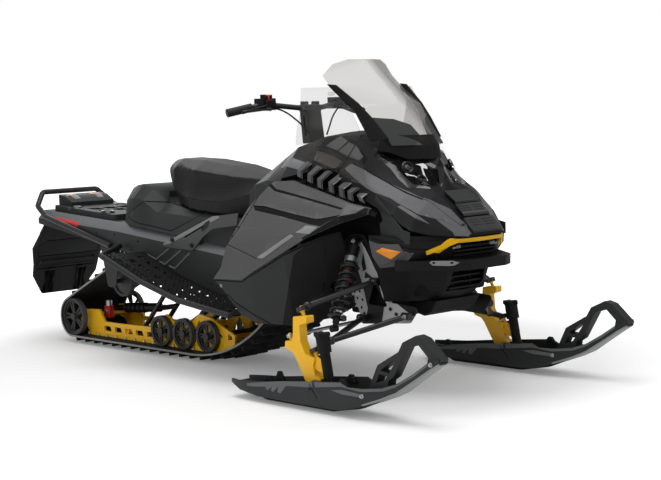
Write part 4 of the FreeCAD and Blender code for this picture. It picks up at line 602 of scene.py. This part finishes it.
# In front of this the ski's underside curves up into view.
SOLE_FROM = 1200 * MM
for hand, side in RIGHT_AND_LEFT:
    made = copy_of("ski_" + hand)
    # Each ski is marked while it stands over the middle line, so that both of its walls get the bands.
    bmesh.ops.translate(made, verts=made.verts, vec=(0, -side * (HALF_STANCE * MM), 0))
    # Painted reflection: the underside of the curved front is painted pale grey.
    for face in made.faces:
        if face.normal.z < -0.25 and face.calc_center_median().x > SOLE_FROM:
            face.material_index = 3
    for finish, view, outline, depth in SKI_MARKS:
        mark(made, finish, view, outline, depth)
    bmesh.ops.translate(made, verts=made.verts, vec=(0, side * (HALF_STANCE * MM), 0))
    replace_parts(finished("ski_skin_" + hand, made, "ski_" + hand,
                         [ski_plastic, ski_light, seam_and_shade_black, ski_sole_reflection], 2), "ski_" + hand)
    dressed("ski_loop_skin_" + hand, ["ski_loop_" + hand], "ski_" + hand, [lit_charcoal_plastic],
            bevel=3)

# ---------------------------------------------------------------- fittings

def frame_at(place, facing):
    """A turn and a move that take +Z onto a direction, at a place in mm."""
    turn = Vector((0, 0, 1)).rotation_difference(Vector(facing)).to_matrix().to_4x4()
    return Matrix.Translation(Vector(place) * MM) @ turn


def bolts(name, body, finish, rows):
    """Flanged hex bolts in one piece: rows of (place, facing, radius), all in mm."""
    made = bmesh.new()
    for place, facing, radius in rows:
        at = frame_at(place, facing)
        bmesh.ops.create_cone(made, cap_ends=True, segments=20, radius1=radius * MM, radius2=radius * 0.86 * MM,
                              depth=radius * 0.3 * MM, matrix=at)
        head = bmesh.ops.create_cone(made, cap_ends=True, segments=6, radius1=radius * 0.66 * MM,
                                     radius2=radius * 0.60 * MM, depth=radius * 0.8 * MM,
                                     matrix=at @ Matrix.Translation((0, 0, radius * 0.45 * MM)))
        tops = [face for vert in head["verts"] for face in vert.link_faces if len(face.verts) == 6]
        bmesh.ops.inset_region(made, faces=list(set(tops)), thickness=radius * 0.12 * MM, depth=0.0)
    return finished(name, made, body, [finish], bevel=0.4)


def both(rows):
    """Right-hand rows and their mirror on the left, for (place, facing, radius)."""
    return list(rows) + [((x, -y, z), (a, -b, c), r) for (x, y, z), (a, b, c), r in rows]


def turned(made, place, facing, profile, steps=32, finish=None):
    """A ring or bowl turned from a profile of (radius, height) in mm about an axis."""
    at = frame_at(place, facing)
    line = [made.verts.new(at @ (Vector((radius, 0, height)) * MM)) for radius, height in profile]
    edges = [made.edges.new(pair) for pair in zip(line, line[1:])]
    before = set(made.faces)
    bmesh.ops.spin(made, geom=line + edges, cent=Vector(place) * MM, axis=at.to_3x3() @ Vector((0, 0, 1)),
                   angle=math.tau, steps=steps, use_merge=True)
    bmesh.ops.remove_doubles(made, verts=made.verts, dist=WELD)
    fresh = [face for face in made.faces if face not in before]
    if finish is not None:
        for face in fresh:
            face.material_index = finish
    return fresh


def block(made, low, high, round_off, finish=0, taper=None):
    """A moulded box with rounded edges between two corners in mm, its top drawn in by taper mm."""
    size = [(b - a) * MM for a, b in zip(low, high)]
    middle = [(a + b) / 2 * MM for a, b in zip(low, high)]
    fresh = bmesh.ops.create_cube(made, size=1.0)["verts"]
    bmesh.ops.scale(made, verts=fresh, vec=size)
    bmesh.ops.translate(made, verts=fresh, vec=middle)
    if taper:
        for vert in fresh:
            if vert.co.z > middle[2]:
                vert.co.x -= math.copysign(taper[0] * MM, vert.co.x - middle[0])
                vert.co.y -= math.copysign(taper[1] * MM, vert.co.y - middle[1])
    edges = list({edge for vert in fresh for edge in vert.link_edges})
    rounded = bmesh.ops.bevel(made, geom=edges, offset=round_off * MM, segments=3, profile=0.5,
                              affect="EDGES", material=-1)
    for face in rounded["faces"]:
        face.material_index = finish
    for vert in fresh:
        if vert.is_valid:
            for face in vert.link_faces:
                face.material_index = finish


def rod(name, body, finish, points, radius, order=3, taper=None):
    """A bent round bar through points in mm."""
    shape = bpy.data.curves.new(name, "CURVE")
    shape.dimensions = "3D"
    shape.bevel_depth = radius * MM
    shape.bevel_resolution = 4
    shape.resolution_u = 8
    shape.use_fill_caps = True
    line = shape.splines.new("NURBS")
    line.points.add(len(points) - 1)
    for at, (point, place) in enumerate(zip(line.points, points)):
        point.co = (*(Vector(place) * MM), 1)
        if taper:
            point.radius = taper[at]
    line.order_u = order
    line.use_endpoint_u = True
    shape.materials.append(finish)
    piece = bpy.data.objects.new(name, shape)
    scene.collection.objects.link(piece)
    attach(piece, body)
    return piece


def coil(made, top, foot, radius, wire, turns, steps=20):
    """A coil spring between two places in mm, spun from one circle of wire."""
    top, foot = Vector(top), Vector(foot)
    axis = (foot - top).normalized()
    out = axis.cross(Vector((0, 1, 0))).normalized()
    along = axis.cross(out)
    ring = bmesh.ops.create_circle(made, segments=8, radius=wire * MM,
                                   matrix=frame_at(top + out * radius, along))["verts"]
    edges = list({edge for vert in ring for edge in vert.link_edges})
    bmesh.ops.spin(made, geom=ring + edges, cent=top * MM, axis=axis, angle=math.tau * turns,
                   steps=int(steps * turns), dvec=(foot - top) * MM / int(steps * turns))
    bmesh.ops.holes_fill(made, edges=[edge for edge in made.edges if edge.is_boundary], sides=8)


# Painted shade: a near-black intake box and ducts close the view through the bay behind the grilles and louvres.
made = bmesh.new()
block(made, (560, -185, 470), (950, 185, 702), 20)
block(made, (985, -185, 385), (1120, 185, 590), 15)
block(made, (745, -188, 300), (1000, 188, 420), 12)
bmesh.ops.recalc_face_normals(made, faces=made.faces)
finished("intake_box_painted_shade", made, "chassis", [seam_and_shade_black])

# Cheek plates close the gap between the hood's lower edge and the nose.
CHEEK = [(972, 766), (1009, 733), (1112, 643), (1150, 634), (1150, 590), (1052, 592), (996, 600), (990, 661),
         (1007, 674), (995, 702), (958, 738)]
for hand, side in RIGHT_AND_LEFT:
    made = bmesh.new()
    made.faces.new([made.verts.new(Vector((x, side * (262 + (x - 960) * 0.06), z)) * MM) for x, z in CHEEK])
    bmesh.ops.recalc_face_normals(made, faces=made.faces)
    if made.faces[:][0].normal.y * side < 0:
        bmesh.ops.reverse_faces(made, faces=made.faces)
    bmesh.ops.inset_region(made, faces=made.faces[:], thickness=5 * MM, depth=1.5 * MM)
    bmesh.ops.solidify(made, geom=made.faces[:], thickness=4 * MM)
    finished("cheek_plate_" + hand, made, "chassis", [lit_charcoal_plastic], bevel=1.0)

# Fog lamps sit at the outer ends of the nose grille.
made = bmesh.new()
for side in (-1, 1):
    block(made, (1218, side * 106 - 22, 565), (1231, side * 106 + 22, 579), 4)
bmesh.ops.recalc_face_normals(made, faces=made.faces)
finished("fog_lenses", made, "chassis", [trim_grey])

# Louvres: (x, z) of each blade's lip at its top, bend and foot.
LOUVRES = (((616, 881), (597, 850), (609, 824)), ((674, 866), (655, 834), (666, 805)),
           ((730, 850), (708, 815), (723, 784)), ((792, 833), (771, 803), (785, 768)),
           ((850, 817), (826, 787), (843, 750)), ((901, 801), (873, 771), (888, 741)),
           ((937, 782), (923, 756), (950, 735)))
LOUVRE_SIDE = (250, 286, 297)
for hand, side in RIGHT_AND_LEFT:
    made = bmesh.new()
    for lip in LOUVRES:
        columns = []
        for back, lift, tuck in ((0, 0, 0), (-11, 4, 1), (-40, 10, 9)):
            columns.append([made.verts.new(Vector((x + back, side * (y - tuck), z + lift)) * MM)
                            for (x, z), y in zip(lip, LOUVRE_SIDE)])
        for at, (near, far) in enumerate(zip(columns, columns[1:])):
            for low in (0, 1):
                face = made.faces.new((near[low], near[low + 1], far[low + 1], far[low]))
                face.material_index = 0 if at == 0 else 1
    bmesh.ops.recalc_face_normals(made, faces=made.faces)
    for face in made.faces:
        if face.normal.y * side < 0:
            face.normal_flip()
    bmesh.ops.solidify(made, geom=made.faces[:], thickness=5 * MM)
    finished("louvre_blades_" + hand, made, "chassis", [gloss_black, panel_grey], bevel=1.2)

# The gauge cowl stands behind the windshield.
made = bmesh.new()
block(made, (640, -105, 930), (800, 105, 1004), 16, taper=(30, 30))
bmesh.ops.recalc_face_normals(made, faces=made.faces)
finished("gauge_cowl", made, "chassis", [lit_charcoal_plastic])

# Serrated teeth stand in rows on the running boards.
BOARD_RUN = ((-690, 484, 470), (-547, 479, 438), (-256, 381, 369), (-11, 321, 315), (250, 290, 278))
TOOTH_PITCH = 27
made = bmesh.new()
for (x, outer, inner), (far_x, far_outer, far_inner) in zip(BOARD_RUN, BOARD_RUN[1:]):
    for at in range(int((far_x - x) / TOOTH_PITCH)):
        share = at * TOOTH_PITCH / (far_x - x)
        for row in range(6):
            y = 250 + row * 36
            if x < -650 and y > 300:
                continue
            across = (y - 220) / 235
            low = inner + (outer - inner) * across + ((far_inner + (far_outer - far_inner) * across)
                                                      - (inner + (outer - inner) * across)) * share
            for side in (-1, 1):
                place = Vector((x + at * TOOTH_PITCH + (row % 2) * 12, side * y, low + 7))
                bmesh.ops.create_cone(made, cap_ends=True, segments=4, radius1=12 * MM, radius2=5 * MM, depth=14 * MM,
                                      matrix=Matrix.Translation(place * MM))
finished("board_teeth", made, "chassis", [board_black])

# Twin lamp bowls in gloss black rings, under a smoked cover.
EYES = (((1012, 128, 868), 20), ((1054, 96, 818), 18))
for hand, side in RIGHT_AND_LEFT:
    made = bmesh.new()
    for (x, y, z), radius in EYES:
        facing = Vector((0.80, side * 0.45, 0.40)).normalized()
        place = Vector((x, side * y, z)) - facing * 7
        turned(made, place, facing, [(radius + 3, -6), (radius + 3, 2), (radius, 3), (radius - 2, 0)], finish=1)
        turned(made, place, facing, [(radius - 2, 0), (radius * 0.7, -9), (radius * 0.35, -13), (0, -13)], finish=0)
        turned(made, place, facing, [(radius * 0.5, -10), (radius * 0.45, 0), (radius * 0.2, 5), (0, 6)], finish=1)
    bmesh.ops.recalc_face_normals(made, faces=made.faces)
    finished("lamp_bowls_" + hand, made, "chassis", [lamp_mirror, gloss_black])

# Front shocks: coil spring, zinc-plated collars and two red marks.
SHOCK_TOP, SHOCK_FOOT = Vector((830, -231.3, 588)), Vector((870, -400, 272))
for hand, side in RIGHT_AND_LEFT:
    top = Vector((SHOCK_TOP.x, -side * SHOCK_TOP.y, SHOCK_TOP.z))
    foot = Vector((SHOCK_FOOT.x, -side * SHOCK_FOOT.y, SHOCK_FOOT.z))
    run = foot - top
    axis = run.normalized()
    made = bmesh.new()
    coil(made, top + run * 0.30, top + run * 0.86, 31, 4.6, 7)
    turned(made, top + run * 0.29, axis, [(22, 0), (38, 0), (38, 5), (22, 7)])
    turned(made, top + run * 0.86, axis, [(22, 0), (37, 2), (37, 7), (22, 9)])
    bmesh.ops.recalc_face_normals(made, faces=made.faces)
    finished("spring_" + hand, made, "chassis", [black_paint])
    made = bmesh.new()
    turned(made, top + run * 0.19, axis, [(20, 0), (27, 2), (27, 22), (20, 25)])
    turned(made, top + run * 0.62, axis, [(16, 0), (20.5, 1), (20.5, 10), (16, 11)])
    turned(made, top + run * 0.80, axis, [(13, 0), (19, 1), (19, 9), (13, 10)])
    bmesh.ops.recalc_face_normals(made, faces=made.faces)
    finished("shock_collars_" + hand, made, "chassis", [zinc_steel], bevel=0.6)
    made = bmesh.new()
    for share, wide in ((0.36, 9), (0.46, 11)):
        turned(made, top + run * share, axis, [(15, 0), (21.5, 1), (21.5, wide), (15, wide + 1)])
    bmesh.ops.recalc_face_normals(made, faces=made.faces)
    finished("shock_marks_" + hand, made, "chassis", [red_paint])

# Casting webs and the drilled plate on the bulkhead.
made = copy_of("bulkhead")
mark(made, 1, "side", [(826, 600), (862, 560), (932, 452), (905, 432), (842, 425), (822, 470)], 1.5)
mark(made, 1, "side", [(784, 405), (846, 410), (868, 330), (860, 296), (784, 300)], 1.0)
mark(made, 1, "side", [(926, 442), (948, 396), (1060, 338), (1130, 305), (1110, 262), (940, 270), (958, 345)], 1.5)
mark(made, 0, "side", [(852, 545), (868, 480), (850, 470), (842, 500)], -2.5)
mark(made, 0, "side", [(862, 470), (900, 448), (856, 444)], -2.5)
for x, z in ((800, 388), (828, 392), (815, 365), (842, 360), (802, 340), (836, 330), (812, 316), (850, 308)):
    mark(made, 0, "side",
         [(x - 6, z), (x - 3, z + 5), (x + 3, z + 5), (x + 6, z), (x + 3, z - 5), (x - 3, z - 5)], -2)
for x, z in ((990, 335), (1020, 318), (1050, 305)):
    mark(made, 0, "side", [(x - 11, z - 4), (x - 4, z + 8), (x + 11, z + 2), (x + 2, z - 9)], -2.5)
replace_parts(finished("bulkhead_castings", made, "chassis", [dark_steel, cast_aluminium], 1.2),
            "bulkhead")

# Ski legs: yellow casting with a black adjuster tower on the same fork.
TOWER_FOOT, TOWER_TOP = Vector((980, -HALF_STANCE, 112)), Vector((962, -HALF_STANCE, 208))
TOWER_RADIUS = 31
for hand, side in RIGHT_AND_LEFT:
    made = copy_of("spindle_" + hand)
    for face in made.faces:
        middle = face.calc_center_median() / MM
        share = (middle.z - TOWER_FOOT.z) / (TOWER_TOP.z - TOWER_FOOT.z)
        centre = TOWER_FOOT.lerp(TOWER_TOP, share)
        reach = math.hypot(middle.x - centre.x, middle.y - side * HALF_STANCE)
        if middle.z > 100 and reach < TOWER_RADIUS and middle.x > 930:
            face.material_index = 1
    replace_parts(finished("ski_leg_" + hand, made, "spindle_" + hand,
                         [rail_yellow, black_plastic], 1.5), "spindle_" + hand)
    made = bmesh.new()
    place = Vector((952, side * HALF_STANCE, 262))
    axis = Vector((-0.18, 0, 0.98)).normalized()
    turned(made, place, axis, [(0, 0), (25, 0), (27, 4), (27, 16), (24, 20), (0, 22)], steps=24)
    for at in range(5):
        turn = math.tau * at / 5
        lobe = place + Vector((math.cos(turn) * 25, math.sin(turn) * 20, 8))
        turned(made, lobe, axis, [(0, -3), (9, -3), (10, 2), (10, 9), (8, 13), (0, 14)], steps=12)
    bmesh.ops.recalc_face_normals(made, faces=made.faces)
    finished("adjuster_knob_" + hand, made, "spindle_" + hand, [black_plastic], bevel=1.0)

# Guide clips stand on the track in a row beside each rail.
CLIP_PITCH = 73
made = bmesh.new()
for at in range(14):
    x = -1128 + CLIP_PITCH * at
    for side in (-1, 1):
        low = (x - 9, side * 124 if side > 0 else side * 134, 40)
        block(made, low, (x + 9, low[1] + 10, 54), 2.5, taper=(5, 3))
bmesh.ops.recalc_face_normals(made, faces=made.faces)
finished("guide_clips", made, "chassis", [zinc_steel])

# Rear shock reservoir in its red block, with a bright cap and plug.
made = bmesh.new()
block(made, (-1078, -72, 118), (-1034, -40, 178), 4, finish=0)
turned(made, (-1056, -72, 150), (0, -1, 0), [(0, 0), (13, 0), (13, 4), (9, 6), (0, 6)], finish=1)
turned(made, (-1056, -56, 176), (0, 0, 1), [(0, 0), (16, 0), (16, 26), (12, 30), (0, 30)], finish=1)
bmesh.ops.recalc_face_normals(made, faces=made.faces)
finished("reservoir", made, "chassis", [red_paint, zinc_steel], bevel=0.8)

# The carrier wheels have plain disc covers with a bright hub.
made = bmesh.new()
for side in (-1, 1):
    turned(made, (-795, side * 158, 325), (0, side, 0),
           [(0, 6), (16, 6), (18, 2), (58, 0), (64, -3), (64, -6), (0, -6)], finish=0)
    turned(made, (-795, side * 166, 325), (0, side, 0), [(0, 4), (9, 4), (10, 0), (0, 0)], steps=12, finish=1)
bmesh.ops.recalc_face_normals(made, faces=made.faces)
finished("wheel_discs", made, "chassis", [wheel_plastic, zinc_steel])

# Tail lamp: a charcoal body with a red lens behind, and on each side an amber strip and a pale grey pad.
made = copy_of("tail_lamp")
for face in made.faces:
    if face.normal.x < -0.5:
        face.material_index = 1
mark(made, 2, "top", [(-1325, 40), (-1325, 96), (-1312, 100), (-1312, 40)], 0.8)
mark(made, 3, "top", [(-1300, 50), (-1300, 92), (-1262, 84), (-1262, 50)], 1.0)
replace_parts(finished("tail_lamp_pods", made, "chassis",
                     [lit_charcoal_plastic, red_lens, amber_lens, trim_grey], 4), "tail_lamp")

# Anchor sockets' rims, seat-brace bolts, panel screws, pivot bolts and the skis' lugs.
made = bmesh.new()
for x in (-1190, -930):
    for y in (-131, 131):
        z = 640 + (x + 1190) * -0.045
        turned(made, (x, y, z), (0.045, 0, 1), [(22.5, 2), (22.5, 16), (30, 18), (36, 12), (38, 2)])
bmesh.ops.recalc_face_normals(made, faces=made.faces)
finished("anchor_rims", made, "chassis", [gloss_black])
bolts("brace_bolts", "chassis", black_paint,
      both([((-317, -226, 542), (0, -1, 0), 13), ((-183, -226, 524), (0, -1, 0), 13)]))
bolts("tunnel_bolts", "chassis", dark_steel,
      both([((x, -220, z), (0, -1, 0), 5)
            for x, z in ((-582, 523), (-635, 482), (-68, 364), (-760, 545), (-900, 550))]))
bolts("panel_screws", "chassis", dark_steel,
      both([((x, y, z), (-0.3, -0.9, 0.3), 4) for x, y, z in
            ((351, -364, 684), (324, -392, 634), (306, -410, 600), (380, -338, 728))]))
for hand, side in RIGHT_AND_LEFT:
    bolts("ski_bolts_" + hand, "ski_" + hand, zinc_steel,
          [((1213, side * 606, 88), (0, side, 0), 9), ((1213, side * 471, 88), (0, -side, 0), 9),
           ((1507, side * 569, 224), (0.2, side, 0.1), 9)])
    bolts("ski_pivot_caps_" + hand, "ski_" + hand, black_paint,
          [((949, side * 610, 85), (0, side, 0), 9), ((949, side * 467, 85), (0, -side, 0), 9)])
    bolts("arm_bolts_" + hand, "chassis", zinc_steel,
          [((1085, side * 246, 316), (0, side, 0), 9), ((852, side * 246, 292), (0, side, 0), 9),
           ((925, side * 246, 438), (0, side, 0), 8), ((830, side * 248, 588), (0, side, 0), 9)])
    bolts("leg_bolts_" + hand, "spindle_" + hand, zinc_steel,
          [((940, side * 566, 84), (0, side, 0), 10)])
    made = bmesh.new()
    for x, y, z, tall in ((585, 482, 62, 14), (650, 482, 70, 30), (1040, 482, 108, 22), (1110, 596, 122, 16)):
        y *= side
        block(made, (x - 26, y - 8, z - 8), (x + 26, y + 8, z + tall), 3, taper=(17, 2))
    bmesh.ops.recalc_face_normals(made, faces=made.faces)
    finished("ski_nubs_" + hand, made, "ski_" + hand, [black_plastic])

# Handlebar: levers, switches, clamp and cables.
for hand, side in RIGHT_AND_LEFT:
    rod("lever_" + hand, "handlebar", black_paint,
        [(330, side * 205, 1098), (345, side * 240, 1100), (338, side * 290, 1094), (318, side * 340, 1090)], 6,
        taper=[1.4, 1.1, 0.9, 1.1])
    made = bmesh.new()
    block(made, (290, side * 200 - 26, 1098), (336, side * 200 + 26, 1136), 7, finish=0)
    block(made, (282, side * 222 - 12, 1092), (322, side * 222 + 12, 1132), 5, finish=0)
    if side < 0:
        block(made, (306, -212, 1134), (330, -190, 1157), 4, finish=1)
    bmesh.ops.recalc_face_normals(made, faces=made.faces)
    finished("switch_pod_" + hand, made, "handlebar", [black_plastic, red_paint])
made = bmesh.new()
for y in (-42, -20, 20, 42):
    turned(made, (346, y, 1108), (0, 0, 1), [(0, 0), (9, 0), (9, 16), (6, 19), (0, 19)], steps=16)
block(made, (328, -52, 1086), (366, 52, 1112), 6)
bmesh.ops.recalc_face_normals(made, faces=made.faces)
finished("bar_clamp", made, "handlebar", [black_paint], bevel=0.8)
# The throttle's cable and the brake's hose run down to the console behind the bar.
CABLES = (("throttle_cable", [(322, -190, 1103), (329, -160, 1099), (340, -120, 1080), (358, -90, 1052),
                              (374, -62, 1022), (388, -44, 992)]),
          ("brake_hose", [(322, 190, 1100), (330, 165, 1086), (352, 120, 1058), (372, 84, 1020), (388, 52, 988)]))
CABLE_RADIUS = 3.5
for name, points in CABLES:
    line = rod(name, "handlebar", black_plastic, points, CABLE_RADIUS)
    corners = [Vector(point) * MM for point in points]
    run = sum((b - a).length for a, b in zip(corners, corners[1:]))

# The belt's side edges are painted pale as a highlight line; lugs and outer face stay dark.
BELT_SIDE = 189.5 * MM
made = copy_of("track")
for face in made.faces:
    if abs(face.normal.y) > 0.9 and abs(face.calc_center_median().y) > BELT_SIDE:
        face.material_index = 1
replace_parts(finished("track_skin", made, "chassis", [track_rubber, belt_edge_highlight], 0.8), "track")

# Wheels: black webs with a tyre ring painted paler grey as a highlight, from the rim's radius out by the tyre's
# depth.
TYRE_DEPTH = 16
for node, x_z in (("rear_idlers", ((-1177, 128, 80),)), ("carrier_wheels", ((-795, 325, 66),)),
                  ("mid_idlers", ((-535, 109.3, 61), (-374, 109.3, 61), (-206, 112.2, 61)))):
    made = copy_of(node)
    for face in made.faces:
        middle = face.calc_center_median() / MM
        for x, z, rim in x_z:
            if rim < math.hypot(middle.x - x, middle.z - z) < rim + TYRE_DEPTH:
                face.material_index = 1
    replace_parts(finished(node + "_skin", made, "chassis", [wheel_plastic, tyre_highlight_rubber], 1.0), node)


# ---------------------------------------------------------------- seat

def dense(name, node, voxel):
    """A copy of a soft node as an even mesh, for shaping."""
    made = copy_of(node)
    mesh = bpy.data.meshes.new(name)
    made.to_mesh(mesh)
    made.free()
    piece = bpy.data.objects.new(name, mesh)
    scene.collection.objects.link(piece)
    remesh = piece.modifiers.new("even", "REMESH")
    remesh.mode = "VOXEL"
    remesh.voxel_size = voxel * MM
    apply_all(piece)
    return piece


def apply_all(piece):
    """Bakes a piece's modifiers into its mesh."""
    graph = bpy.context.evaluated_depsgraph_get()
    graph.update()
    mesh = bpy.data.meshes.new_from_object(piece.evaluated_get(graph))
    piece.modifiers.clear()
    piece.data = mesh


VOXEL = 6
# Above its flat underside the foam's corners are softened, in this many turns.
UNDERSIDE = 672 * MM
SOFTENING_TURNS = 5
# The cloth swells for this many frames, and no point moves further than the cap.
PRESSURE, SWELL_FRAMES = 4, 20
SWELL_CAP = 3 * MM
seat = dense("seat_cushion", "seat", VOXEL)
made = bmesh.new()
made.from_mesh(seat.data)
for turn in range(SOFTENING_TURNS):
    bmesh.ops.smooth_vert(made, verts=[vert for vert in made.verts if vert.co.z > UNDERSIDE], factor=0.5,
                          use_axis_x=True, use_axis_y=True, use_axis_z=True)
made.to_mesh(seat.data)
made.free()
before = [vert.co.copy() for vert in seat.data.vertices]
cloth = seat.modifiers.new("foam", "CLOTH")
cloth.settings.use_pressure = True
cloth.settings.uniform_pressure_force = PRESSURE
cloth.settings.effector_weights.gravity = 0
for tick in range(1, SWELL_FRAMES + 1):
    scene.frame_set(tick)
graph = bpy.context.evaluated_depsgraph_get()
swollen = bpy.data.meshes.new_from_object(seat.evaluated_get(graph))
seat.modifiers.clear()
scene.frame_set(1)
for vert, was in zip(swollen.vertices, before):
    move = vert.co - was
    if move.length > SWELL_CAP:
        move *= SWELL_CAP / move.length
    vert.co = was + move
seat.data = swollen

# (x, z) of the welt round the seat, and of the edge between its sides and its top.
SEAM = ((-420, 742), (-366, 733), (-229, 715), (-60, 708), (-25, 713), (78, 736), (170, 762))
SEAM_TOP = ((-420, 870), (-343, 849), (-207, 832), (-52, 815), (106, 803), (170, 800))


def along_line(line, x):
    """The height of a broken line at x."""
    for (near, low), (far, high) in zip(line, line[1:]):
        if x <= far:
            return low + (high - low) * max(0.0, (x - near) / (far - near))
    return line[-1][1]


# The sides' scoop: its middle and half length in x, its depth, and the half width that it leaves alone.
SCOOP_MIDDLE, SCOOP_HALF = -120, 300
SCOOP_DEPTH = 30
SCOOP_FROM, SCOOP_EASE = 50, 40
# The tail narrows behind this x, over this length, and below this height, over this drop.
TAIL_FROM, TAIL_LENGTH = -300, 260
TAIL_TOP, TAIL_DROP = 850, 150
TAIL_NARROWS = 0.42
TAIL_MOVES = 52


def scooped(mesh):
    """Draws the sides in between the welt and the top edge, where the cover is pulled tight, and tapers the tail."""
    for vert in mesh.vertices:
        x, y, z = vert.co / MM
        low, high = along_line(SEAM, x), along_line(SEAM_TOP, x)
        share = (z - low) / (high - low)
        if abs(y) > SCOOP_FROM and 0 < share < 1:
            along = max(0.0, 1 - ((x - SCOOP_MIDDLE) / SCOOP_HALF) ** 2) ** 0.5
            depth = SCOOP_DEPTH * along * math.sin(math.pi * share ** 0.8) ** 0.8
            vert.co.y -= math.copysign(depth * MM * min(1.0, (abs(y) - SCOOP_FROM) / SCOOP_EASE), y)
        tail = max(0.0, min(1.0, (TAIL_FROM - x) / TAIL_LENGTH))
        hang = max(0.0, min(1.0, (TAIL_TOP - z) / TAIL_DROP))
        vert.co.y *= 1 - TAIL_NARROWS * tail * hang
        vert.co.x += TAIL_MOVES * MM * tail * tail * hang


scooped(seat.data)
# The welt is this wide either side of its line.
WELT_HALF = 3.2
for finish in (seat_vinyl, seat_side_shade_vinyl, welt_black):
    seat.data.materials.append(finish)
# Painted shade: the sides below the top edge and every face turned away from the top are painted near black.
for face in seat.data.polygons:
    x, y, z = face.center / MM
    if z < along_line(SEAM_TOP, x) + 4 or face.normal.z < 0.25:
        face.material_index = 1
    if abs(z - along_line(SEAM, x)) < WELT_HALF and abs(face.normal.z) < 0.9 and x > -430:
        face.material_index = 2
seat.data.shade_smooth()
rounder = seat.modifiers.new("softened", "SUBSURF")
rounder.levels = 1
rounder.render_levels = 1
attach(seat, "chassis")
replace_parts(seat, "seat")
